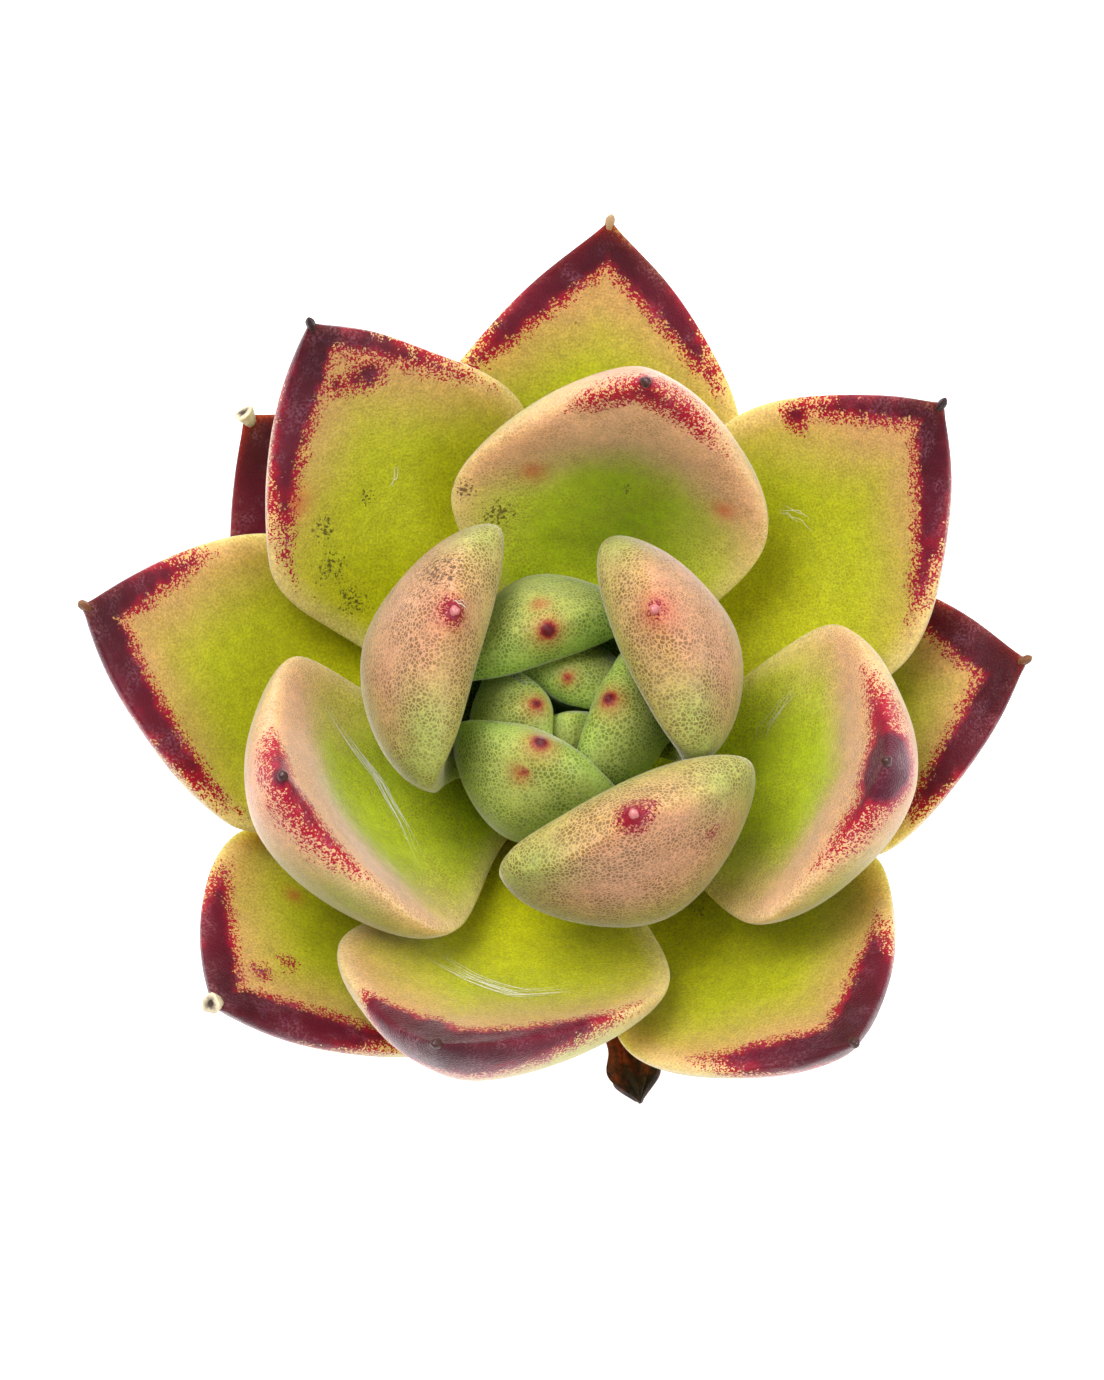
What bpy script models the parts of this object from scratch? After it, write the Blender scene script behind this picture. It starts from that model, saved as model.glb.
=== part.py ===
"""Potted succulent: a rosette of thick pointed leaves on a short stem, rooted in soil in a small round pot.

Lengths are in metres, +Z points up, and the pot stands on the plane z = 0 with its axis on the Z axis.
The leaves follow one spiral, so leaf_01 is the heart of the rosette and leaf_22 the outermost.
"""

import math
from dataclasses import dataclass

import bpy
import numpy as np
from mathutils import Vector
from mathutils.bvhtree import BVHTree

MM = 0.001

# Pot
POT_HEIGHT = 45 * MM
POT_RIM_RADIUS = 27.5 * MM
POT_BASE_RADIUS = 19 * MM
POT_WALL = 2.4 * MM
POT_FLOOR = 3 * MM
RIM_BAND_HEIGHT = 9 * MM
RIM_BAND_STEP = 1.3 * MM
POT_EDGE_ROUND = 0.7 * MM
DRAIN_COUNT = 4
DRAIN_RADIUS = 2 * MM
DRAIN_RING_SHARE = 0.55
POT_SEGMENTS = 56
CUTTER_SEGMENTS = 24

# Soil
SOIL_BELOW_RIM = 5 * MM
SOIL_MOUND = 1.2 * MM
SOIL_SEGMENTS = 48

# Stem
PLANT_OFFSET_Y = -4 * MM
STEM_RADIUS = 4.6 * MM
STEM_DEPTH = 15 * MM
STEM_TOP_RADIUS = 0.9 * MM
STEM_STEP = 1.25 * MM
STEM_SEGMENTS = 20

# Leaves
CROWN_RADIUS = 5.7 * MM
CROWN_SPREAD = 6.2
HEART_DEPTH = 9 * MM
LEAF_PITCH = 0.84 * MM
LEAF_LENGTH = 51 * MM
LEAF_WIDTH = 31 * MM
LEAF_THICKNESS = 8.5 * MM
LEAF_CURL = 1.6
ROOT_THINNING = 0.45
POINT_HOLLOW = 0.35
POINT_HOLLOW_REACH = 0.13
MUCRO_RADIUS = 0.45 * MM
MUCRO_LENGTH = 1 * MM
LEAF_RINGS = 13
LEAF_SIDES = 18

# Fits
TOUCH_GAP = 0.3 * MM
LEAF_GAP = 0.45 * MM
RIM_CLEARANCE = 0.8 * MM
PRESSED_SHARE = 0.45
PRESS_TRIES = 8

CLAY = (0.55, 0.27, 0.16)
EARTH = (0.09, 0.06, 0.045)
BARK = (0.28, 0.22, 0.12)
HEART_GREEN = (0.30, 0.42, 0.12)
OUTER_GREEN = (0.52, 0.34, 0.12)
WITHERED_BROWN = (0.10, 0.05, 0.03)


@dataclass(frozen=True)
class Leaf:
    """One leaf. Angles are in degrees, and sizes are shares of the leaf sizes at the top of the file."""

    azimuth: float
    length: float
    width: float
    thickness: float
    rise_base: float
    rise_tip: float
    blunt: float = 2.4
    tip_round: float = 1.5
    dish: float = 0.2
    sway: float = 0.0
    inner_share: float = 0.25
    inner_tip: float = 0.0
    keel: float = 0.35
    widest: float = 0.58
    neck: float = 0.28
    withered: bool = False


LEAVES = (
    Leaf(277, 0.21, 0.28, 0.52, 80, 95, blunt=4, dish=0, neck=0.6),
    Leaf(64, 0.25, 0.50, 0.76, 75, 110, 4, 1.5, 0.1, 0.018, inner_tip=0.2, neck=0.5),
    Leaf(195, 0.28, 0.48, 0.94, 72, 108, blunt=4, inner_tip=0.2, dish=0.15, neck=0.5),
    Leaf(340, 0.34, 0.52, 0.80, 71, 109, 4, 1.8, 0.2, 0.010, inner_tip=0.2, neck=0.5),
    Leaf(110, 0.42, 0.62, 1.0, 58, 124, 4, 2, 0.2, inner_tip=0.3, neck=0.45),
    Leaf(245, 0.42, 0.58, 0.94, 60, 119, 4, 2, 0.22, inner_tip=0.3, neck=0.45),
    Leaf(21, 0.61, 0.76, 1.2, 55, 118, 4.4, 2.2, 0.2, 0.035, 0.37, 0.3, 0.2, 0.66, 0.35),
    Leaf(166, 0.65, 0.86, 1.2, 49, 120, 4.4, 2.2, 0.22, -0.040, 0.3, 0.3, 0.2, 0.66, 0.34),
    Leaf(295, 0.67, 0.86, 1.2, 43, 110, 4.4, 2.2, 0.22, -0.015, 0.3, 0.42, 0.3, 0.66, 0.3),
    Leaf(80.5, 0.845, 1.0, 1.0, 28, 96, 3.4, 2, 0.25, -0.055, inner_tip=0.1, keel=0.2, widest=0.54),
    Leaf(207, 0.83, 1.0, 1.0, 25, 96, 3.4, 1.8, 0.25, -0.047, inner_tip=0.1, keel=0.25),
    Leaf(345, 0.845, 1.0, 1.0, 22, 92, 3.4, 2, 0.25, -0.020, inner_tip=0.1, keel=0.25),
    Leaf(127, 0.99, 0.97, 0.94, 24, 66, 3, sway=-0.020),
    Leaf(261, 0.89, 1.02, 0.94, 21, 76, 3, 1.8, 0.22, -0.132),
    Leaf(36, 1.0, 0.97, 0.88, 20, 60, 2.6, 1.7, sway=0.028),
    Leaf(173, 1.01, 0.97, 0.88, 18, 58, 2.6, sway=-0.049),
    Leaf(308, 0.95, 1.0, 0.88, 18, 62, 2.6, 1.8),
    Leaf(91, 1.01, 1.03, 0.82, 18, 50, dish=0.15, sway=-0.100),
    Leaf(225, 0.93, 0.97, 0.82, 16, 56, tip_round=1.7, dish=0.15, sway=-0.059),
    Leaf(6, 0.90, 0.94, 0.76, 15, 50, dish=0.15, sway=0.020),
    Leaf(135, 0.88, 0.96, 0.70, 15, 44, tip_round=1.6, dish=0.1),
    Leaf(281, 0.67, 0.29, 0.30, 15, 35, tip_round=3.5, dish=0.3, withered=True),
)


def eased(value):
    """A smooth step from 0 to 1 as the value goes from 0 to 1."""
    held = np.clip(value, 0.0, 1.0)
    return held * held * (3.0 - 2.0 * held)


def clear_scene():
    """Removes every object, so that only this part is in the scene."""
    for found in list(bpy.data.objects):
        bpy.data.objects.remove(found, do_unlink=True)


def material(name, color, roughness):
    """A plain Principled material."""
    made = bpy.data.materials.new(name)
    made.use_nodes = True
    shader = made.node_tree.nodes["Principled BSDF"]
    shader.inputs["Base Color"].default_value = (*color, 1.0)
    shader.inputs["Roughness"].default_value = roughness
    return made


def add_object(name, points, faces, dressed, sharp_angle=180.0):
    """Puts a smooth mesh in the scene. Edges that turn by more than sharp_angle stay sharp."""
    mesh = bpy.data.meshes.new(name)
    mesh.from_pydata([tuple(point) for point in points], [], faces)
    mesh.polygons.foreach_set("use_smooth", [True] * len(mesh.polygons))
    mesh.set_sharp_from_angle(angle=math.radians(sharp_angle))
    mesh.materials.append(dressed)
    mesh.update()
    made = bpy.data.objects.new(name, mesh)
    bpy.context.scene.collection.objects.link(made)
    return made


def closed_rings(ring_count, side_count):
    """Faces of rings joined in order, closed by a fan at each end. The two end points follow the rings."""
    faces = []
    for ring in range(ring_count - 1):
        for side in range(side_count):
            ahead = (side + 1) % side_count
            low = ring * side_count
            high = low + side_count
            faces.append((low + side, low + ahead, high + ahead, high + side))
    first_end = ring_count * side_count
    last_ring = (ring_count - 1) * side_count
    for side in range(side_count):
        ahead = (side + 1) % side_count
        faces.append((first_end, ahead, side))
        faces.append((first_end + 1, last_ring + side, last_ring + ahead))
    return faces


def turned(profile, segments):
    """Points and faces of a profile turned about Z. It starts on the axis below and ends on it above."""
    angles = np.linspace(0.0, 2.0 * math.pi, segments, endpoint=False)
    inner = profile[1:-1]
    points = [
        (radius * math.cos(angle), radius * math.sin(angle), height)
        for radius, height in inner
        for angle in angles
    ]
    points.append((0.0, 0.0, profile[0][1]))
    points.append((0.0, 0.0, profile[-1][1]))
    return points, closed_rings(len(inner), segments)


def cutter(name, radius, bottom, top, centre):
    """A hidden upright cylinder that cuts a round hole."""
    profile = [(0.0, bottom), (radius, bottom), (radius, top), (0.0, top)]
    points, faces = turned(profile, CUTTER_SEGMENTS)
    moved = [(x + centre[0], y + centre[1], z) for x, y, z in points]
    made = add_object(name, moved, faces, material(name, BARK, 0.5))
    made.hide_render = True
    made.display_type = "WIRE"
    return made


def cut(target, tool):
    """Cuts the tool's shape out of the target."""
    bore = target.modifiers.new("bore", "BOOLEAN")
    bore.operation = "DIFFERENCE"
    bore.solver = "EXACT"
    bore.object = tool


def neighbours(values):
    """The grid of values and its eight shifted copies, so that each cell lies over those around it."""
    padded = np.pad(values, 1, mode="edge")
    rows, columns = values.shape
    return [padded[i : i + rows, j : j + columns] for i in range(3) for j in range(3)]


def path_along(slopes, step):
    """Distance gained at each sample of a path, from the share of each step that goes that way."""
    middles = (slopes[1:] + slopes[:-1]) / 2.0
    return np.concatenate([[0.0], np.cumsum(middles)]) * step


class LeafShape:
    """One leaf's surface, held as rings about a curved spine so that it can give way to its neighbours."""

    def __init__(self, leaf, order):
        self.leaf = leaf
        even = np.linspace(0.0, 1.0, LEAF_RINGS + 1)
        self.along = 0.5 * even + 0.5 * (1.0 - (1.0 - even) ** 1.5)
        self.turn = np.linspace(0.0, 2.0 * math.pi, LEAF_SIDES, endpoint=False)
        azimuth = math.radians(leaf.azimuth)
        self.outward = np.array([math.cos(azimuth), math.sin(azimuth), 0.0])
        self.sideways = np.array([-math.sin(azimuth), math.cos(azimuth), 0.0])
        self.lay_spine(order)
        self.across, self.above = self.section()

    def lay_spine(self, order):
        """Sets the curve along the middle of the leaf, and the way its inner face looks at each ring."""
        leaf = self.leaf
        base_radius = CROWN_RADIUS * (1.0 - math.exp(-(order + 0.7) / CROWN_SPREAD))
        base_height = -HEART_DEPTH - LEAF_PITCH * order
        fine = np.linspace(0.0, 1.0, 200)
        rise = np.radians(leaf.rise_base + (leaf.rise_tip - leaf.rise_base) * fine**LEAF_CURL)
        step = leaf.length * LEAF_LENGTH / (len(fine) - 1)
        radius = base_radius + np.interp(self.along, fine, path_along(np.cos(rise), step))
        height = base_height + np.interp(self.along, fine, path_along(np.sin(rise), step))
        angle = np.interp(self.along, fine, rise)[:, None]
        sway = leaf.sway * LEAF_LENGTH * self.along**2
        up = np.array([0.0, 0.0, 1.0])
        self.spine = radius[:, None] * self.outward + height[:, None] * up + sway[:, None] * self.sideways
        self.facing = np.cos(angle) * up - np.sin(angle) * self.outward

    def half_width(self, from_tip):
        """Half of the width: a narrow neck, a broad middle, then curved sides that draw in to a point."""
        leaf = self.leaf
        tip_part = 1.0 - leaf.widest
        near = np.clip(from_tip / tip_part, 0.0, 1.0)
        rounded = 1.0 - (1.0 - near) ** leaf.tip_round
        point = rounded * (1.0 - POINT_HOLLOW * np.exp(-near / POINT_HOLLOW_REACH))
        neck = 1.0 - (1.0 - leaf.neck) * eased((from_tip - tip_part) / leaf.widest)
        return leaf.width * LEAF_WIDTH / 2.0 * np.where(from_tip < tip_part, point, neck)

    def thickness(self, from_tip):
        """Thickness along the spine: thickest halfway, thinner at the root, and thinning late at the tip."""
        leaf = self.leaf
        outer = 1.0 - (1.0 - np.clip(2.0 * from_tip, 0.0, 1.0)) ** leaf.blunt
        root = 1.0 - ROOT_THINNING * eased(2.0 * from_tip - 1.0)
        return leaf.thickness * LEAF_THICKNESS * np.where(from_tip < 0.5, outer, root)

    def section(self):
        """Offsets across and above the spine, ring by ring: a shallow inner face over a deep rounded back."""
        leaf = self.leaf
        at = self.along[:-1]
        to_point = (1.0 - at) * leaf.length * LEAF_LENGTH
        mucro = MUCRO_RADIUS * np.minimum(1.0, (to_point / MUCRO_LENGTH) ** 0.7)
        half = np.maximum(self.half_width(1.0 - at), mucro)[:, None]
        thick = np.maximum(self.thickness(1.0 - at), 2.0 * mucro)[:, None]
        at = at[:, None]
        share = leaf.inner_share + leaf.inner_tip * eased((at - 0.55) / 0.35)
        cosine = np.cos(self.turn)[None, :]
        sine = np.sin(self.turn)[None, :]
        keel = leaf.keel * eased((at - 0.3) / 0.6)
        ridge = 1.15 - np.sqrt(cosine**2 + 0.15**2)
        back = (1.0 - keel) * np.abs(sine) + keel * ridge * np.minimum(1.0, 3.0 * np.abs(sine))
        above = np.where(sine >= 0.0, thick * share * sine, -thick * (1.0 - share) * back)
        dish = leaf.dish * eased(at / 0.35) * (1.0 - 0.8 * eased((at - 0.75) / 0.25))
        return half * cosine, above + dish * half * cosine**2

    def points(self):
        """All ring points, then the middle of the base, then the tip."""
        rings = (
            self.spine[:-1, None, :]
            + self.across[:, :, None] * self.sideways
            + self.above[:, :, None] * self.facing[:-1, None, :]
        )
        return np.vstack([rings.reshape(-1, 3), rings[0].mean(axis=0), self.spine[-1]])

    def free_height(self, inner):
        """How far above the spine each ring point can rise before it meets a leaf inside this one."""
        free = np.full(self.above.shape, np.inf)
        reach = 2.0 * LEAF_LENGTH
        for ring in range(LEAF_RINGS):
            facing = Vector(self.facing[ring])
            for side in range(LEAF_SIDES):
                level = self.spine[ring] + self.across[ring, side] * self.sideways
                start = Vector(level) - facing * reach
                distance = inner.ray_cast(start, facing, 2.0 * reach)[3]
                if distance is not None:
                    free[ring, side] = distance - reach
        return free

    def pressed(self, free, gap):
        """Offsets above the spine once the leaf gives way, keeping its thickness where there is room."""
        face = np.arange(LEAF_SIDES // 2 + 1)
        back = -face % LEAF_SIDES
        need = np.maximum(0.0, self.above + gap - free)[:, face]
        spread = np.max(neighbours(need), axis=0)
        drop = np.maximum(need, np.mean(neighbours(spread), axis=0))
        thickness = self.above[:, face] - self.above[:, back]
        back_drop = np.maximum(0.0, drop - (1.0 - PRESSED_SHARE) * thickness)
        above = self.above.copy()
        above[:, back] -= back_drop
        above[:, face] = self.above[:, face] - drop
        return above


def tree_of(points, faces):
    """A search tree over a mesh, for rays and for finding crossings."""
    return BVHTree.FromPolygons([tuple(point) for point in points], faces)


def grow_rosette():
    """Points of all leaves about the middle of the heart, each pressed clear of those inside it."""
    faces = closed_rings(LEAF_RINGS, LEAF_SIDES)
    grown = [LeafShape(LEAVES[0], 0).points()]
    for order, leaf in enumerate(LEAVES[1:], start=1):
        count = len(grown[0])
        joined = [tuple(index + count * i for index in face) for i in range(order) for face in faces]
        inner = tree_of(np.vstack(grown), joined)
        shape = LeafShape(leaf, order)
        free = shape.free_height(inner)
        natural = shape.above
        for tries in range(PRESS_TRIES):
            shape.above = natural
            shape.above = shape.pressed(free, LEAF_GAP * (1.0 + 0.5 * tries))
            if not inner.overlap(tree_of(shape.points(), faces)):
                break
        grown.append(shape.points())
    return grown, faces


def pot_outer_radius(height):
    """Outer radius of the pot's wall under the band."""
    top = POT_RIM_RADIUS - RIM_BAND_STEP
    return POT_BASE_RADIUS + (top - POT_BASE_RADIUS) * height / POT_HEIGHT


def pot_inner_radius(height):
    """Inner radius of the pot's wall."""
    return pot_outer_radius(height) - POT_WALL


def soil_top(radius):
    """Height of the soil surface: a low mound that falls away towards the pot."""
    share = radius / pot_inner_radius(POT_HEIGHT)
    return POT_HEIGHT - SOIL_BELOW_RIM + SOIL_MOUND * (1.0 - share**2)


def rosette_height(grown):
    """Height of the middle of the heart at which the lowest leaves clear both the pot's rim and the soil."""
    points = np.vstack(grown)
    from_axis = np.hypot(points[:, 0], points[:, 1] + PLANT_OFFSET_Y)
    rim_start = pot_inner_radius(POT_HEIGHT) - RIM_CLEARANCE
    over_soil = points[from_axis <= rim_start]
    over_rim = points[(from_axis > rim_start) & (from_axis < POT_RIM_RADIUS + RIM_CLEARANCE)]
    soil_lift = soil_top(0.0) + 2.0 * TOUCH_GAP - over_soil[:, 2].min()
    rim_lift = POT_HEIGHT + RIM_CLEARANCE - over_rim[:, 2].min()
    return max(soil_lift, rim_lift)


def build_pot():
    """A plain tapered pot with a band round its rim and drain holes in its floor."""
    inner_top = pot_inner_radius(POT_HEIGHT)
    inner_floor = pot_inner_radius(POT_FLOOR)
    band_bottom = POT_HEIGHT - RIM_BAND_HEIGHT
    profile = [
        (0.0, 0.0),
        (POT_BASE_RADIUS - POT_EDGE_ROUND, 0.0),
        (pot_outer_radius(POT_EDGE_ROUND), POT_EDGE_ROUND),
        (pot_outer_radius(band_bottom), band_bottom),
        (POT_RIM_RADIUS - POT_EDGE_ROUND, band_bottom + POT_EDGE_ROUND / 2.0),
        (POT_RIM_RADIUS, band_bottom + 1.5 * POT_EDGE_ROUND),
        (POT_RIM_RADIUS, POT_HEIGHT - POT_EDGE_ROUND),
        (POT_RIM_RADIUS - POT_EDGE_ROUND, POT_HEIGHT),
        (inner_top + POT_EDGE_ROUND, POT_HEIGHT),
        (inner_top, POT_HEIGHT - POT_EDGE_ROUND),
        (inner_floor, POT_FLOOR + POT_EDGE_ROUND),
        (inner_floor - POT_EDGE_ROUND, POT_FLOOR),
        (0.0, POT_FLOOR),
    ]
    points, faces = turned(profile, POT_SEGMENTS)
    pot = add_object("pot", points, faces, material("clay", CLAY, 0.8), sharp_angle=40.0)
    ring = inner_floor * DRAIN_RING_SHARE
    for hole in range(DRAIN_COUNT):
        angle = 2.0 * math.pi * (hole + 0.5) / DRAIN_COUNT
        centre = (ring * math.cos(angle), ring * math.sin(angle))
        name = f"drain_cutter_{hole + 1}"
        cut(pot, cutter(name, DRAIN_RADIUS, -POT_FLOOR, 2.0 * POT_FLOOR, centre))


def build_soil():
    """Soil that fills the pot to just below its rim, with a hole that the stem stands in."""
    bottom = POT_FLOOR + TOUCH_GAP
    edge_height = POT_HEIGHT - SOIL_BELOW_RIM
    edge_radius = pot_inner_radius(edge_height) - 1.5 * TOUCH_GAP
    foot_radius = pot_inner_radius(POT_FLOOR) - POT_EDGE_ROUND - TOUCH_GAP
    profile = [
        (0.0, bottom),
        (foot_radius - POT_EDGE_ROUND, bottom),
        (foot_radius, bottom + POT_EDGE_ROUND),
        (edge_radius, edge_height - POT_EDGE_ROUND),
    ]
    profile += [(edge_radius * part, soil_top(edge_radius * part)) for part in (0.96, 0.75, 0.5, 0.25)]
    profile.append((0.0, soil_top(0.0)))
    points, faces = turned(profile, SOIL_SEGMENTS)
    soil = add_object("soil", points, faces, material("soil", EARTH, 0.95), sharp_angle=40.0)
    hole_bottom = soil_top(0.0) - STEM_DEPTH - TOUCH_GAP
    hole_radius = STEM_RADIUS + TOUCH_GAP
    cut(soil, cutter("stem_cutter", hole_radius, hole_bottom, POT_HEIGHT, (0.0, PLANT_OFFSET_Y)))


def stem_profile(grown, heart):
    """Outline of the stem: round and even in the soil, then as wide as the leaf bases leave room for."""
    points = np.vstack(grown)
    from_axis = np.hypot(points[:, 0], points[:, 1])
    height = points[:, 2] + heart
    bottom = soil_top(0.0) - STEM_DEPTH
    level = soil_top(0.0) - TOUCH_GAP
    radius = STEM_RADIUS
    rings = [(0.0, bottom), (STEM_RADIUS - TOUCH_GAP, bottom), (STEM_RADIUS, bottom + TOUCH_GAP)]
    while radius >= STEM_TOP_RADIUS:
        rings.append((radius, level))
        level += STEM_STEP
        beside = from_axis[np.abs(height - level) < 1.6 * STEM_STEP]
        if len(beside):
            radius = min(radius, beside.min() - 2.0 * TOUCH_GAP)
    rings.append((0.0, rings[-1][1] + 0.3 * rings[-1][0]))
    return rings


def leaf_color(leaf, order):
    """Green at the heart, yellower outwards, and brown on a withered leaf."""
    if leaf.withered:
        return WITHERED_BROWN
    age = order / (len(LEAVES) - 1)
    return tuple(young + (old - young) * age for young, old in zip(HEART_GREEN, OUTER_GREEN))


def build_plant():
    """The leaves at the height where they clear the pot, and the stem that carries them."""
    grown, faces = grow_rosette()
    heart = rosette_height(grown)
    place = np.array([0.0, PLANT_OFFSET_Y, heart])
    for order, (leaf, points) in enumerate(zip(LEAVES, grown)):
        name = f"leaf_{order + 1:02d}"
        add_object(name, points + place, faces, material(name, leaf_color(leaf, order), 0.4))
    points, faces = turned(stem_profile(grown, heart), STEM_SEGMENTS)
    moved = np.array(points) + np.array([0.0, PLANT_OFFSET_Y, 0.0])
    add_object("stem", moved, faces, material("stem", BARK, 0.7))


clear_scene()
build_pot()
build_soil()
build_plant()
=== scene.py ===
"""A potted rosette succulent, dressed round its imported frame.

The leaves are grown again at a fine scale from the same sizes as the frame's leaves, pressed clear of
one another, and stained at their points and margins. The pot is turned again with softened edges, and
loose grit lies on the soil. Lengths are in millimetres until a mesh is made.
"""

import logging
import math
from dataclasses import dataclass, field
from enum import Enum

import bpy
import numpy as np
from mathutils import Matrix, Vector
from mathutils.bvhtree import BVHTree


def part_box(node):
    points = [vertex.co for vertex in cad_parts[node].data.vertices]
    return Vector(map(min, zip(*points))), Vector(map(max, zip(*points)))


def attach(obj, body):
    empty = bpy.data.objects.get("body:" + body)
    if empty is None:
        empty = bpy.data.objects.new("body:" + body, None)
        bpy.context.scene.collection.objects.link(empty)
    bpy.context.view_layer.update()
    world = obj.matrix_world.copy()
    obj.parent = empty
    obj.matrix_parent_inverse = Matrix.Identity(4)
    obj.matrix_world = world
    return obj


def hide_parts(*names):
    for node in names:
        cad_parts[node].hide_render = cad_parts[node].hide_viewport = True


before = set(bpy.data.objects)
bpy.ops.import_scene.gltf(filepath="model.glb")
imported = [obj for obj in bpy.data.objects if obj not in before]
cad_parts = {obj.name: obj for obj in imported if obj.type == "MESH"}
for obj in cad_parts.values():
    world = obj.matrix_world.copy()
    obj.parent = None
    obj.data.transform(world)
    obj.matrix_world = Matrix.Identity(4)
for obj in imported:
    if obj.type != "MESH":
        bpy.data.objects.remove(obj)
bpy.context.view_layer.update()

Color = tuple[float, float, float, float]
Socket = bpy.types.NodeSocket
LOG = logging.getLogger("potted_succulent")
METRE = 0.001
FULL_TURN = 2.0 * math.pi
WAVE_SEED = 40
SCUFF_SEED = 91
POINT_SEED = 700
BODY = "root"


def paint(red: int, green: int, blue: int) -> Color:
    """Turns a display colour into the linear colour that a shader takes.

    Args:
        red: Red, from 0 to 255.
        green: Green, from 0 to 255.
        blue: Blue, from 0 to 255.

    Returns:
        The linear colour, opaque.
    """
    shares = [value / 255.0 for value in (red, green, blue)]
    linear = [s / 12.92 if s <= 0.04045 else ((s + 0.055) / 1.055) ** 2.4 for s in shares]
    return (linear[0], linear[1], linear[2], 1.0)


def eased(value: np.ndarray | float) -> np.ndarray:
    """Smooth step from 0 to 1 as the value goes from 0 to 1."""
    held = np.clip(value, 0.0, 1.0)
    return held * held * (3.0 - 2.0 * held)


def add_mesh(name: str, points: np.ndarray, faces: list) -> bpy.types.Object:
    """Puts a smooth-shaded mesh in the scene.

    Args:
        name: The object's name.
        points: Corners in millimetres, one row each.
        faces: Corner indices of each face.

    Returns:
        The new object.
    """
    mesh = bpy.data.meshes.new(name)
    mesh.from_pydata((np.asarray(points) * METRE).tolist(), [], faces)
    mesh.polygons.foreach_set("use_smooth", [True] * len(mesh.polygons))
    mesh.update()
    made = bpy.data.objects.new(name, mesh)
    bpy.context.scene.collection.objects.link(made)
    return made


def add_field(piece: bpy.types.Object, name: str, values: np.ndarray) -> None:
    """Stores one number for each corner of a mesh, for its material to read.

    Args:
        piece: The object whose mesh takes the numbers.
        name: The name that the material reads.
        values: One number for each corner.
    """
    stored = piece.data.attributes.new(name, "FLOAT", "POINT")
    stored.data.foreach_set("value", np.ascontiguousarray(values, np.float32).reshape(-1))


def ring_faces(rings: int, sides: int) -> list[tuple[int, ...]]:
    """Faces of rings joined in order, closed by a fan at each end.

    Args:
        rings: How many rings there are.
        sides: How many corners each ring has.

    Returns:
        Corner indices of each face. The two end points follow the rings.
    """
    faces: list[tuple[int, ...]] = []
    for ring in range(rings - 1):
        low = ring * sides
        high = low + sides
        for side in range(sides):
            ahead = (side + 1) % sides
            faces.append((low + side, low + ahead, high + ahead, high + side))
    first_end = rings * sides
    last = (rings - 1) * sides
    for side in range(sides):
        ahead = (side + 1) % sides
        faces.append((first_end, ahead, side))
        faces.append((first_end + 1, last + side, last + ahead))
    return faces


def around(values: np.ndarray) -> np.ndarray:
    """Stacks a grid of values and its eight shifted copies.

    Args:
        values: The grid.

    Returns:
        Nine grids of the same size.
    """
    padded = np.pad(values, 1, mode="edge")
    rows, columns = values.shape
    return np.stack([padded[i : i + rows, j : j + columns] for i in range(3) for j in range(3)])


def spread(values: np.ndarray, times: int) -> np.ndarray:
    """Widens the high places of a grid.

    Args:
        values: The grid.
        times: How many cells they widen by.

    Returns:
        The widened grid.
    """
    for _ in range(times):
        values = around(values).max(axis=0)
    return values


def softened(values: np.ndarray, times: int) -> np.ndarray:
    """Averages each cell of a grid with its neighbours.

    Args:
        values: The grid.
        times: How many times it is averaged.

    Returns:
        The softer grid.
    """
    for _ in range(times):
        values = around(values).mean(axis=0)
    return values


def ring_angles(sides: int) -> np.ndarray:
    """Even angles round one full turn, in radians."""
    return np.linspace(0.0, FULL_TURN, sides, endpoint=False)


def faded(away: np.ndarray, reach: float) -> np.ndarray:
    """Falls smoothly from 1 at no distance to about a third at the reach."""
    return np.exp(-((away / reach) ** 2))


class LeafAge(Enum):
    """How old a leaf is, from the closed heart to the dried leaf at the foot."""

    HEART = "heart"
    BUD = "bud"
    MIDDLE = "middle"
    OUTER = "outer"
    WITHERED = "withered"


class PointKind(Enum):
    """What a leaf's point has dried into."""

    SOFT = "soft"
    PALE = "pale"
    NUB = "nub"
    DARK = "dark"
    GOLD = "gold"
    CREAM = "cream"
    SCAR = "scar"
    NONE = "none"


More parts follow.
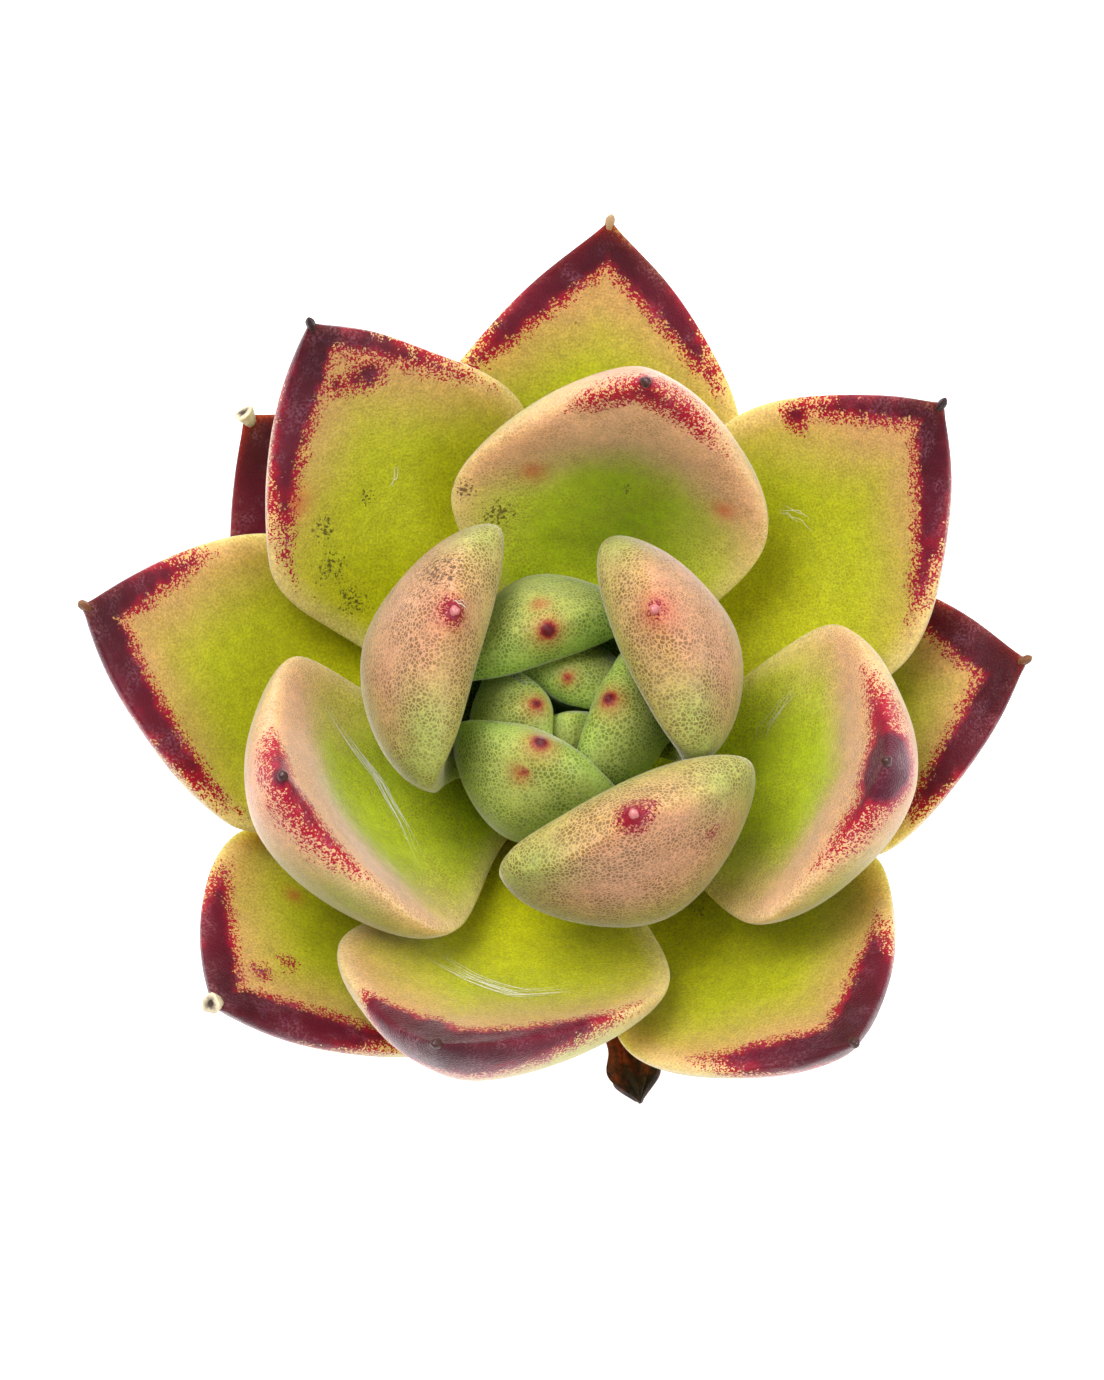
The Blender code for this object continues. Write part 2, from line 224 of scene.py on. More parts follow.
class Graph:
    """Adds nodes to one material and wires them to its shader."""

    def __init__(self, name: str) -> None:
        """Starts a material.

        Args:
            name: The material's name.
        """
        self.material = bpy.data.materials.new(name)
        self.material.use_nodes = True
        tree = self.material.node_tree
        self.nodes = tree.nodes
        self.links = tree.links
        self.shader = self.nodes["Principled BSDF"]
        self.place = self.add("ShaderNodeTexCoord").outputs["Object"]

    def add(self, kind: str, **settings: object) -> bpy.types.Node:
        """Adds one node.

        Args:
            kind: The node's type.
            **settings: Properties to set on it.

        Returns:
            The node.
        """
        node = self.nodes.new(kind)
        for key, value in settings.items():
            setattr(node, key, value)
        return node

    def feed(self, socket: Socket, value: Socket | float | Color) -> None:
        """Links a socket, or sets its value.

        Args:
            socket: The input to feed.
            value: An output to link, or a constant.
        """
        if isinstance(value, bpy.types.NodeSocket):
            self.links.new(value, socket)
        else:
            socket.default_value = value

    def set(self, **values: float | Color) -> None:
        """Sets constants on the shader's sockets, with _ for each space in a socket's name."""
        for key, value in values.items():
            self.shader.inputs[key.replace("_", " ")].default_value = value

    def math(self, operation: str, *values: Socket | float) -> Socket:
        """Adds one sum.

        Args:
            operation: The kind of sum.
            *values: What goes into it, in order.

        Returns:
            The result.
        """
        node = self.add("ShaderNodeMath", operation=operation)
        for socket, value in zip(node.inputs, values):
            self.feed(socket, value)
        return node.outputs[0]

    def blend(self, share: Socket | float, first: Socket | Color, second: Socket | Color) -> Socket:
        """Blends two colours.

        Args:
            share: How much of the second, from 0 to 1.
            first: The colour at 0.
            second: The colour at 1.

        Returns:
            The blended colour.
        """
        node = self.add("ShaderNodeMix", data_type="RGBA")
        self.feed(node.inputs[0], share)
        self.feed(node.inputs[6], first)
        self.feed(node.inputs[7], second)
        return node.outputs[2]

    def ramp(self, value: Socket, low: float, high: float, start: float = 0.0, end: float = 1.0) -> Socket:
        """Eases from start to end as the value goes from low to high.

        Args:
            value: What drives it.
            low: Where it starts.
            high: Where it ends.
            start: The result at low.
            end: The result at high.

        Returns:
            The eased number.
        """
        node = self.add("ShaderNodeMapRange", interpolation_type="SMOOTHSTEP")
        for index, given in enumerate((value, low, high, start, end)):
            self.feed(node.inputs[index], given)
        return node.outputs[0]

    def field(self, name: str) -> Socket:
        """Reads a number that the mesh holds at each corner."""
        return self.add("ShaderNodeAttribute", attribute_name=name).outputs["Fac"]

    def stretched(self, x: float, y: float, z: float) -> Socket:
        """The place, scaled along each axis.

        Args:
            x: Share of the true distance along X.
            y: Share of the true distance along Y.
            z: Share of the true distance along Z.

        Returns:
            The scaled place.
        """
        node = self.add("ShaderNodeMapping")
        self.feed(node.inputs["Vector"], self.place)
        node.inputs["Scale"].default_value = (x, y, z)
        return node.outputs[0]

    def texture(
        self, kind: str, size: float, place: Socket | None = None, **settings: object
    ) -> bpy.types.Node:
        """Adds a texture node at a true size.

        Args:
            kind: The node's type.
            size: Size of its features, in millimetres.
            place: Where to read it, if not at the mesh's own place.
            **settings: Properties to set on it.

        Returns:
            The node.
        """
        node = self.add(kind, **settings)
        self.feed(node.inputs["Vector"], place or self.place)
        node.inputs["Scale"].default_value = 1.0 / (size * METRE)
        return node

    def noise(
        self, size: float, detail: float = 2.0, rough: float = 0.5, place: Socket | None = None
    ) -> Socket:
        """Cloudy noise from 0 to 1.

        Args:
            size: Size of its features, in millimetres.
            detail: How many finer layers it has.
            rough: How strong the finer layers are.
            place: Where to read it, if not at the mesh's own place.

        Returns:
            The noise.
        """
        node = self.texture("ShaderNodeTexNoise", size, place)
        node.inputs["Detail"].default_value = detail
        node.inputs["Roughness"].default_value = rough
        return node.outputs[0]

    def swing(self, noise: Socket, amount: float) -> Socket:
        """Turns noise from 0 to 1 into a swing about 0 of that amount each way."""
        return self.math("MULTIPLY", self.math("SUBTRACT", noise, 0.5), 2.0 * amount)

    def cells(self, size: float) -> tuple[Socket, Socket]:
        """Small cells of random size.

        Args:
            size: Their size, in millimetres.

        Returns:
            The distance from each cell's middle, and one random number for each cell.
        """
        node = self.texture("ShaderNodeTexVoronoi", size)
        split = self.add("ShaderNodeSeparateColor")
        self.links.new(node.outputs["Color"], split.inputs[0])
        return node.outputs["Distance"], split.outputs[0]

    def net(self, size: float) -> Socket:
        """How far each place lies from the nearest wall of a net of cells of that size in millimetres."""
        walls = self.texture("ShaderNodeTexVoronoi", size, feature="DISTANCE_TO_EDGE")
        return walls.outputs["Distance"]

    def bump(self, height: Socket, depth: float, strength: float = 1.0, over: Socket | None = None) -> Socket:
        """Turns a height into a bumped normal.

        Args:
            height: The height, from 0 to 1.
            depth: What a height of 1 stands for, in millimetres.
            strength: How much of it shows.
            over: A bumped normal that it is added to.

        Returns:
            The normal.
        """
        node = self.add("ShaderNodeBump")
        node.inputs["Strength"].default_value = strength
        node.inputs["Distance"].default_value = depth * METRE
        self.feed(node.inputs["Height"], height)
        if over is not None:
            self.feed(node.inputs["Normal"], over)
        return node.outputs[0]

    def finish(self, color: Socket, roughness: Socket | float, normal: Socket) -> bpy.types.Material:
        """Feeds the shader and hands the material over.

        Args:
            color: Base colour.
            roughness: Roughness.
            normal: Bumped normal.

        Returns:
            The material.
        """
        self.feed(self.shader.inputs["Base Color"], color)
        self.feed(self.shader.inputs["Roughness"], roughness)
        self.feed(self.shader.inputs["Normal"], normal)
        return self.material


@dataclass(frozen=True)
class LeafSkin:
    """The living skin of a leaf: stippled flesh, a pale margin, and a stain that breaks up into dots.

    The lengths are in millimetres. tan_width and green_width say how far in from the margin the flesh
    starts and ends turning from tan to green. back_low and back_high say the same of the back, from the
    point. The rim's colour, the margin's own pale colour made paler on the outer and middle leaves as
    painted rim light, is rim_width broad, rim_share strong, and starts rim_from away from the point. pore
    is the size of the net between the pores, dot_share says how dark they are, and pit how
    even the fine grain is. tear and scatter roughen the stain's edge, and soft blurs it. core_low and
    core_high say how deep into the stain it darkens from crimson to purple, and tip_share how near black
    it turns at the point.
    """

    name: str
    # root: the base's own pale yellow-green, brightened as painted glow of light passing through the leaf.
    root: Color
    middle: Color
    margin: Color
    # rim: the margin's own colour; on the outer and middle leaves it is pale pink, made paler as painted rim
    # light where the thin edge glows.
    rim: Color
    back_tip: Color
    back_root: Color
    dot: Color
    dot_share: float
    tan_width: float = 6.0
    green_width: float = 19.0
    rim_share: float = 0.4
    rim_width: float = 2.2
    rim_from: float = -8.0
    back_low: float = 4.0
    back_high: float = 17.0
    pore: float = 0.34
    pit: float = 0.84
    tear: float = 1.1
    scatter: float = 0.9
    soft: float = 0.14
    core_low: float = 0.1
    core_high: float = 1.4
    tip_share: float = 0.65
    crimson: Color = paint(178, 14, 48)
    purple: Color = paint(98, 12, 38)
    deep: Color = paint(46, 10, 22)
    # A pale lavender film over the stain: partly the skin's own waxy bloom, partly painted satin sheen.
    wax_bloom_and_sheen: Color = paint(158, 104, 126)
    grime: Color = paint(70, 48, 26)
    blush: Color = paint(196, 72, 52)
    # shade: a darker green, partly the flesh's own deeper green and partly painted shade under the
    # overhanging bud leaves.
    shade: Color = paint(96, 124, 0)

    def flesh(self, graph: Graph) -> Socket:
        """The colour of the flesh under any stain.

        Args:
            graph: The material being made.

        Returns:
            The colour.
        """
        rim = graph.field("rim")
        tip = graph.field("tip")
        along = graph.field("along")
        cloud = graph.swing(graph.noise(4.5, 3.0, 0.55), 2.0)
        inward = graph.math("MULTIPLY_ADD", tip, 0.45, graph.math("ADD", rim, cloud))
        green = graph.ramp(inward, self.tan_width, self.green_width)
        face = graph.blend(green, self.margin, self.middle)
        # Towards the root the face turns to the root colour: the leaf's own pale yellow-green, brightened as
        # painted glow of light through the flesh.
        face = graph.blend(graph.ramp(along, 0.2, 0.68, 1.0, 0.0), face, self.root)
        away = graph.math("ADD", tip, cloud)
        back = graph.blend(graph.ramp(away, self.back_low, self.back_high), self.back_tip, self.back_root)
        # Darker green patches from the shade field: partly the flesh's own deeper green, partly painted shade
        # where the bud leaves overhang the inner face.
        face = graph.blend(graph.field("shade"), face, self.shade)
        color = graph.blend(graph.ramp(rim, -1.3, 0.9), back, face)
        # The rim colour along the margin on both faces: the margin's own colour, on the outer and middle
        # leaves made paler as painted rim light.
        edge = graph.math("ABSOLUTE", graph.math("ADD", rim, 0.2))
        share = graph.ramp(edge, 0.0, self.rim_width, self.rim_share, 0.0)
        share = graph.math("MULTIPLY", share, graph.ramp(tip, self.rim_from, self.rim_from + 7.0))
        return graph.blend(share, color, self.rim)

    def stipple(self, graph: Graph, flesh: Socket, wall: Socket) -> Socket:
        """Adds the fine pores and the soft mottling of the skin.

        Args:
            graph: The material being made.
            flesh: The flesh colour.
            wall: The distance from the pale net between the pores.

        Returns:
            The colour.
        """
        pores = graph.ramp(wall, 0.03, 0.2)
        patchy = graph.ramp(graph.noise(3.4, 2.0), 0.3, 0.62, 0.45, 1.0)
        share = graph.math("MULTIPLY", graph.math("MULTIPLY", pores, patchy), self.dot_share)
        dotted = graph.blend(share, flesh, self.dot)
        cloud = graph.ramp(graph.noise(1.3, 4.0, 0.65), 0.3, 0.7, 0.92, 1.08)
        fine = graph.ramp(graph.noise(0.24, 2.0, 0.6), 0.3, 0.7, self.pit, 2.0 - self.pit)
        toned = graph.add("ShaderNodeHueSaturation")
        graph.feed(toned.inputs["Color"], dotted)
        graph.feed(toned.inputs["Value"], graph.math("MULTIPLY", cloud, fine))
        return toned.outputs[0]

    def pigment(self, graph: Graph, stain: Socket) -> Socket:
        """The colour of the stain: crimson where thin, purple where deep, and near black at the point.

        Args:
            graph: The material being made.
            stain: How deep into the stain the place lies, in millimetres.

        Returns:
            The colour.
        """
        depth = graph.math("ADD", stain, graph.swing(graph.noise(1.7, 3.0), self.tear))
        core = graph.ramp(depth, self.core_low, self.core_high)
        color = graph.blend(core, self.crimson, self.purple)
        near = graph.math("ADD", graph.field("tip"), graph.swing(graph.noise(2.4, 3.0), 4.0))
        dark = graph.math("MULTIPLY", graph.ramp(near, 2.0, 12.0, self.tip_share, 0.0), core)
        color = graph.blend(dark, color, self.deep)
        # Streaky pale lavender patches over the stain: partly waxy bloom on the skin, partly painted satin
        # sheen.
        brushed = graph.noise(0.28, 3.0, 0.7)
        patch = graph.ramp(graph.noise(4.0, 3.0, 0.6), 0.45, 0.68)
        wax_bloom_and_sheen = graph.math("MULTIPLY", patch, graph.ramp(brushed, 0.42, 0.66))
        return graph.blend(graph.math("MULTIPLY", wax_bloom_and_sheen, 0.46), color, self.wax_bloom_and_sheen)

    def make(self) -> bpy.types.Material:
        """Builds the material.

        Returns:
            The material.
        """
        graph = Graph(self.name)
        wall = graph.net(self.pore)
        _, chance = graph.cells(0.15)
        flesh = self.stipple(graph, self.flesh(graph), wall)
        blush = graph.math("MULTIPLY", graph.field("blush"), graph.ramp(chance, 0.0, 1.0, 0.7, 1.0))
        flesh = graph.blend(blush, flesh, self.blush)
        stain = graph.field("stain")
        torn = graph.math("ADD", stain, graph.swing(graph.noise(1.6, 4.0, 0.65), self.tear))
        dotted = graph.math("ADD", torn, graph.swing(chance, self.scatter))
        mask = graph.ramp(dotted, -self.soft, self.soft)
        color = graph.blend(mask, flesh, self.pigment(graph, stain))
        crumbs = graph.math("MULTIPLY_ADD", graph.field("grime"), 0.17, graph.noise(0.34, 3.0, 0.62))
        color = graph.blend(graph.ramp(crumbs, 0.69, 0.76, 0.0, 0.8), color, self.grime)
        normal = graph.bump(graph.noise(3.2, 2.0), 0.25, 0.5)
        normal = graph.bump(graph.ramp(wall, 0.0, 0.25), 0.03, 0.7, normal)
        satin = graph.ramp(graph.noise(1.2, 4.0, 0.7), 0.3, 0.7, 0.34, 0.5)
        graph.set(Subsurface_Weight=0.85, Subsurface_Scale=5.0 * METRE, Specular_IOR_Level=0.24)
        graph.set(Sheen_Weight=0.7, Sheen_Roughness=0.3, Sheen_Tint=(1.0, 0.9, 0.93, 1.0))
        graph.shader.inputs["Subsurface Radius"].default_value = (1.0, 0.95, 0.22)
        return graph.finish(color, satin, normal)


@dataclass(frozen=True)
class WitheredSkin:
    """The wrinkled skin of a dried leaf, still rusty near its root."""

    dark: Color = paint(30, 20, 18)
    brown: Color = paint(96, 58, 36)
    rust: Color = paint(158, 66, 34)

    def make(self) -> bpy.types.Material:
        """Builds the material.

        Returns:
            The material.
        """
        graph = Graph("withered_skin")
        cloud = graph.noise(1.4, 4.0, 0.6)
        fresh = graph.math("ADD", graph.field("along"), graph.swing(cloud, 0.25))
        color = graph.blend(graph.ramp(fresh, 0.72, 0.95), self.rust, self.dark)
        color = graph.blend(graph.ramp(cloud, 0.55, 0.75, 0.0, 0.6), color, self.brown)
        wrinkle = graph.noise(0.5, 4.0, 0.65)
        graph.set(Specular_IOR_Level=0.4)
        return graph.finish(color, graph.ramp(cloud, 0.3, 0.7, 0.4, 0.7), graph.bump(wrinkle, 0.15))


@dataclass(frozen=True)
class DriedPoint:
    """The dry corky point at a leaf's end."""

    name: str
    light: Color
    dark: Color
    roughness: float = 0.6

    def make(self) -> bpy.types.Material:
        """Builds the material.

        Returns:
            The material.
        """
        graph = Graph(self.name)
        grain = graph.noise(0.35, 4.0, 0.65)
        distance, _ = graph.cells(0.3)
        share = graph.math("ADD", graph.field("worn"), graph.swing(grain, 0.4))
        color = graph.blend(graph.ramp(share, 0.2, 0.9), self.dark, self.light)
        rough = graph.ramp(grain, 0.3, 0.7, self.roughness - 0.12, self.roughness + 0.12)
        return graph.finish(color, rough, graph.bump(distance, 0.06, 0.8))


@dataclass(frozen=True)
class ClayFinish:
    """Fired unglazed clay: a fine grain, soft wheel lines and a pale salt bloom low on the wall."""

    clay: Color = paint(190, 112, 76)
    deep: Color = paint(158, 84, 54)
    salt: Color = paint(226, 206, 188)
    fleck: Color = paint(90, 52, 36)

    def make(self) -> bpy.types.Material:
        """Builds the material.

        Returns:
            The material.
        """
        graph = Graph("fired_clay")
        cloud = graph.noise(14.0, 4.0, 0.6)
        fine = graph.noise(0.6, 4.0, 0.7)
        wheel = graph.noise(1.1, 3.0, 0.5, graph.stretched(0.02, 0.02, 1.0))
        color = graph.blend(graph.ramp(cloud, 0.3, 0.7), self.deep, self.clay)
        color = graph.blend(graph.ramp(wheel, 0.35, 0.7, 0.0, 0.35), color, self.deep)
        grit, chance = graph.cells(0.7)
        fleck = graph.math("MULTIPLY", graph.ramp(chance, 0.9, 0.95), graph.ramp(grit, 0.1, 0.4, 0.7, 0.0))
        color = graph.blend(fleck, color, self.fleck)
        level = graph.add("ShaderNodeSeparateXYZ")
        graph.feed(level.inputs[0], graph.place)
        height = graph.math("DIVIDE", level.outputs["Z"], METRE)
        drift = graph.swing(graph.noise(6.0, 5.0, 0.65), 9.0)
        low = graph.ramp(graph.math("ADD", height, drift), 3.0, 19.0, 0.75, 0.0)
        crust = graph.ramp(graph.noise(1.6, 6.0, 0.75), 0.38, 0.72)
        bloom = graph.math("MULTIPLY", low, graph.ramp(graph.noise(7.0, 5.0, 0.7), 0.36, 0.64, 0.15, 1.0))
        crusted = graph.math("MULTIPLY", bloom, graph.ramp(crust, 0.0, 1.0, 0.35, 0.85))
        color = graph.blend(crusted, color, self.salt)
        rubbed = graph.ramp(graph.field("edge"), 0.0, 1.0, 0.0, 0.45)
        color = graph.blend(graph.math("MULTIPLY", rubbed, crust), color, self.salt)
        normal = graph.bump(wheel, 0.12, 0.6)
        normal = graph.bump(fine, 0.08, 0.5, normal)
        graph.set(Specular_IOR_Level=0.3)
        return graph.finish(color, graph.ramp(fine, 0.3, 0.7, 0.74, 0.9), normal)


@dataclass(frozen=True)
class SoilFinish:
    """Damp dark soil between the grit."""

    dark: Color = paint(48, 34, 26)
    light: Color = paint(104, 78, 58)

    def make(self) -> bpy.types.Material:
        """Builds the material.

        Returns:
            The material.
        """
        graph = Graph("soil_finish")
        crumb = graph.noise(1.3, 6.0, 0.7)
        color = graph.blend(graph.ramp(crumb, 0.35, 0.7), self.dark, self.light)
        distance, _ = graph.cells(0.9)
        normal = graph.bump(crumb, 0.6)
        return graph.finish(color, 0.9, graph.bump(distance, 0.3, 0.6, normal))


@dataclass(frozen=True)
class GritFinish:
    """Pumice, lava and flint: the shade of each stone is held in its mesh."""

    pumice: Color = paint(206, 196, 178)
    lava: Color = paint(118, 62, 44)
    flint: Color = paint(58, 54, 52)

    def make(self) -> bpy.types.Material:
        """Builds the material.

        Returns:
            The material.
        """
        graph = Graph("grit_finish")
        shade = graph.field("shade")
        grain = graph.noise(0.4, 4.0, 0.7)
        color = graph.blend(graph.ramp(shade, 0.3, 0.34), self.flint, self.lava)
        color = graph.blend(graph.ramp(shade, 0.6, 0.64), color, self.pumice)
        color = graph.blend(graph.ramp(grain, 0.4, 0.7, 0.0, 0.35), color, self.flint)
        return graph.finish(color, 0.85, graph.bump(grain, 0.12))


@dataclass(frozen=True)
class BarkFinish:
    """Dry bark with rings where old leaves came away."""

    light: Color = paint(150, 124, 88)
    dark: Color = paint(88, 66, 44)

    def make(self) -> bpy.types.Material:
        """Builds the material.

        Returns:
            The material.
        """
        graph = Graph("bark_finish")
        rings = graph.noise(0.9, 4.0, 0.6, graph.stretched(0.15, 0.15, 1.0))
        grain = graph.noise(0.5, 4.0, 0.7)
        color = graph.blend(graph.ramp(rings, 0.35, 0.65), self.dark, self.light)
        normal = graph.bump(grain, 0.15, 0.7, graph.bump(rings, 0.5))
        return graph.finish(color, graph.ramp(grain, 0.3, 0.7, 0.7, 0.9), normal)


@dataclass(frozen=True)
class FibreFinish:
    """A pale hair of lint or a dry scuff on a leaf."""

    pale: Color = paint(236, 232, 216)
    straw: Color = paint(196, 190, 150)

    def make(self) -> bpy.types.Material:
        """Builds the material.

        Returns:
            The material.
        """
        graph = Graph("pale_fibre")
        grain = graph.noise(0.4, 3.0)
        color = graph.blend(graph.ramp(grain, 0.3, 0.7, 0.0, 0.4), self.pale, self.straw)
        return graph.finish(color, 0.6, graph.bump(grain, 0.02))


@dataclass(frozen=True)
class Band:
    """A stained strip from a leaf's point down one margin.

    side is 1 for the margin that faces a growing azimuth and -1 for the other. reach is how far it runs,
    width is how broad it starts, inset is how far in from the margin its middle lies, and a higher fade
    keeps it broad for longer.
    """

    side: int
    reach: float
    width: float
    inset: float = 1.5
    fade: float = 2.5


@dataclass(frozen=True)
class Spot:
    """A round mark.

    along is its place from root 0 to point 1. turn is its angle round the section in degrees: 0 and 180
    are the margins, 90 is the middle of the inner face and 270 the middle of the back.
    """

    along: float
    turn: float
    radius: float


@dataclass(frozen=True)
class Scuff:
    """A bundle of fine pale hairs on one leaf.

    leaf counts from the heart, from 0. path gives places as along and turn, as for a spot. spread is how
    far apart the strands lie, as a share of the leaf, and width is half a strand's width in millimetres.
    """

    leaf: int
    path: tuple[tuple[float, float], ...]
    strands: int
    spread: float
    width: float = 0.05


@dataclass(frozen=True)
class LeafPlan:
    """One leaf. Angles are in degrees, and sizes are shares of the rosette's leaf sizes.

    azimuth is the way it grows from the stem, and rise_base and rise_tip are how steeply its spine climbs
    at root and point. A higher blunt keeps it thick for longer, and a higher tip_round rounds its end.
    dish hollows its inner face, sway bends it sideways, and inner_share is how much of its thickness lies
    over the spine, with inner_tip more near the point. keel sharpens the back, widest is where along the
    leaf it is broadest, and neck is how broad the root is. blot is the reach of the stain round its point
    and halo that of the flush, both in millimetres. age chooses its skin and point its dried end. The
    rest are marks on its skin.
    """

    azimuth: float
    length: float
    width: float
    thickness: float
    rise_base: float
    rise_tip: float
    blunt: float = 2.4
    tip_round: float = 1.5
    dish: float = 0.2
    sway: float = 0.0
    inner_share: float = 0.25
    inner_tip: float = 0.0
    keel: float = 0.35
    widest: float = 0.58
    neck: float = 0.28
    age: LeafAge = LeafAge.OUTER
    point: PointKind = PointKind.DARK
    blot: float = 0.0
    halo: float = 0.0
    bands: tuple[Band, ...] = ()
    stains: tuple[Spot, ...] = ()
    blushes: tuple[Spot, ...] = ()
    # shades: darker green patches, partly the flesh's own deeper green and partly painted shade.
    shades: tuple[Spot, ...] = ()
    grimes: tuple[Spot, ...] = ()


def heart(*sizes: float, **marks: object) -> LeafPlan:
    """A leaf of the closed heart."""
    return LeafPlan(*sizes, age=LeafAge.HEART, point=PointKind.SOFT, **marks)


def bud_leaf(*sizes: float, **marks: object) -> LeafPlan:
    """A thick leaf that folds over the heart."""
    return LeafPlan(*sizes, age=LeafAge.BUD, point=PointKind.PALE, **marks)


def middle(*sizes: float, **marks: object) -> LeafPlan:
    """A leaf of the middle rings."""
    return LeafPlan(*sizes, age=LeafAge.MIDDLE, **marks)


def leaf_plans() -> tuple[LeafPlan, ...]:
    """The leaves, from the heart outwards.

    Returns:
        One plan for each leaf, in the order of the frame's leaf numbers.
    """
    bud = dict(inner_tip=0.2, neck=0.5)
    arm = dict(inner_tip=0.1, keel=0.25)
    return (
        heart(277, 0.21, 0.28, 0.52, 80, 95, blunt=4, dish=0, neck=0.6),
        heart(64, 0.25, 0.50, 0.76, 75, 110, blunt=4, dish=0.1, sway=0.018, blot=0.4, halo=1.1, **bud),
        heart(195, 0.28, 0.48, 0.94, 72, 108, blunt=4, dish=0.15, blot=0.72, halo=1.6, **bud),
        heart(340, 0.34, 0.52, 0.80, 71, 109, 4, 1.8, 0.2, 0.010, blot=0.92, halo=1.9, **bud),
        heart(110, 0.42, 0.62, 1.0, 58, 124, 4, 2, 0.2, inner_tip=0.3, neck=0.45, blot=1.1, halo=2.2,
              blushes=(Spot(0.9, 266, 1.2),)),
        heart(245, 0.42, 0.58, 0.94, 60, 119, 4, 2, 0.22, inner_tip=0.3, neck=0.45, blot=1.05, halo=2.1,
              stains=(Spot(0.878, 266, 0.32),), blushes=(Spot(0.86, 262, 1.2),)),
        bud_leaf(21, 0.61, 0.76, 1.2, 55, 118, 4.4, 2.2, 0.2, 0.035, 0.37, 0.3, 0.2, 0.66, 0.35,
                 blot=0.7, halo=2.4),
        bud_leaf(166, 0.65, 0.86, 1.2, 49, 120, 4.4, 2.2, 0.22, -0.040, 0.3, 0.3, 0.2, 0.66, 0.34,
                 blot=1.5, halo=2.2, grimes=(Spot(0.9, 229, 3.4), Spot(0.7, 251, 1.6))),
        bud_leaf(295, 0.67, 0.86, 1.2, 43, 110, 4.4, 2.2, 0.22, -0.015, 0.3, 0.42, 0.3, 0.66, 0.3,
                 blot=1.9, halo=1.8, stains=(Spot(0.972, 22, 0.8), Spot(0.784, 304, 0.3))),
        middle(80.5, 0.845, 1.0, 1.0, 28, 96, 3.4, 2, 0.25, -0.055, inner_tip=0.1, keel=0.2, widest=0.54,
               point=PointKind.NUB, blot=1.8, bands=(Band(1, 8, 1.8, 1.4), Band(-1, 10, 2.2, 1.4)),
               # The shade patch on this leaf's inner face is partly its deeper green, partly painted shade
               # under the bud leaves.
               blushes=(Spot(0.629, 56, 1.3), Spot(0.61, 135, 1.1)), shades=(Spot(0.52, 97, 8.0),),
               grimes=(Spot(0.554, 22, 1.5), Spot(0.487, 45, 2.0), Spot(0.6, 94, 0.9))),
        middle(207, 0.83, 1.0, 1.0, 25, 96, 3.4, 1.8, 0.25, -0.047, point=PointKind.NUB,
               blot=2.5, bands=(Band(-1, 7, 3.0, 0.8), Band(1, 12.5, 2.6, 0.8)), **arm),
        middle(345, 0.845, 1.0, 1.0, 22, 92, 3.4, 2, 0.25, -0.02, point=PointKind.NUB,
               blot=5.6, bands=(Band(1, 13, 3.0, 1.4), Band(-1, 12, 2.8, 1.2)), **arm),
        LeafPlan(127, 0.99, 0.97, 0.94, 24, 66, 3, sway=-0.020,
                 blot=4.6, bands=(Band(1, 24, 4.4, 1.8, 2), Band(-1, 19, 2.8, 1.2)),
                 stains=(Spot(0.824, 112, 1.5), Spot(0.835, 100, 1.2), Spot(0.85, 88, 1.0)),
                 blushes=(Spot(0.691, 41, 1.7),),
                 grimes=(Spot(0.526, 49, 2.0), Spot(0.601, 56, 1.6), Spot(0.438, 45, 1.9),
                         Spot(0.6, 80, 1.0))),
        LeafPlan(261, 0.89, 1.02, 0.94, 21, 76, 3, 1.8, 0.22, -0.132, point=PointKind.NUB,
                 blot=5.0, bands=(Band(1, 21, 6.8, 0.6, 1.7), Band(-1, 12.0, 7.4, 0.8, 2.5)),
                 stains=(Spot(0.9, 112, 2.6), Spot(0.87, 140, 2.2))),
        LeafPlan(36, 1.0, 0.97, 0.88, 20, 60, 2.6, 1.7, sway=0.028,
                 blot=4.2, bands=(Band(1, 17, 3.2, 1.2, 3), Band(-1, 21, 4.2, 1.8)),
                 stains=(Spot(0.734, 34, 1.4), Spot(0.72, 143, 0.9))),
        LeafPlan(173, 1.01, 0.97, 0.88, 18, 58, 2.6, sway=-0.049, point=PointKind.GOLD,
                 blot=4.4, bands=(Band(1, 24, 4.8, 1.6), Band(-1, 16, 4.2, 1.4)),
                 stains=(Spot(0.674, 30, 0.6),)),
        LeafPlan(308, 0.95, 1.0, 0.88, 18, 62, 2.6, 1.8, point=PointKind.NUB,
                 blot=4.8, bands=(Band(1, 16.5, 6.2, 1.8), Band(-1, 16.5, 5.2, 1.5)),
                 grimes=(Spot(0.367, 90, 0.7),)),
        LeafPlan(91, 1.01, 1.03, 0.82, 18, 50, dish=0.15, sway=-0.100, point=PointKind.CREAM,
                 blot=4.6, bands=(Band(1, 21, 4.4, 1.5, 3), Band(-1, 20, 4.2, 1.5, 3))),
        LeafPlan(225, 0.93, 0.97, 0.82, 16, 56, tip_round=1.7, dish=0.15, sway=-0.059, point=PointKind.SCAR,
                 blot=4.6, bands=(Band(1, 21, 5.0, 1.8, 3), Band(-1, 18, 4.6, 1.6, 3)),
                 stains=(Spot(0.809, 98, 0.75), Spot(0.743, 94, 0.6)), blushes=(Spot(0.592, 116, 0.9),)),
        LeafPlan(6, 0.90, 0.94, 0.76, 15, 50, dish=0.15, sway=0.020, point=PointKind.GOLD,
                 blot=4.8, bands=(Band(1, 18, 5.0, 1.8, 3), Band(-1, 20, 5.0, 1.8, 3))),
        LeafPlan(135, 0.88, 0.96, 0.70, 15, 44, tip_round=1.6, dish=0.1, point=PointKind.SCAR,
                 blot=4.4, bands=(Band(1, 26, 8.0, 3.0, 3), Band(-1, 22, 7.0, 2.5, 3))),
        LeafPlan(281, 0.67, 0.29, 0.30, 15, 35, tip_round=3.5, dish=0.3,
                 age=LeafAge.WITHERED, point=PointKind.NONE),
    )


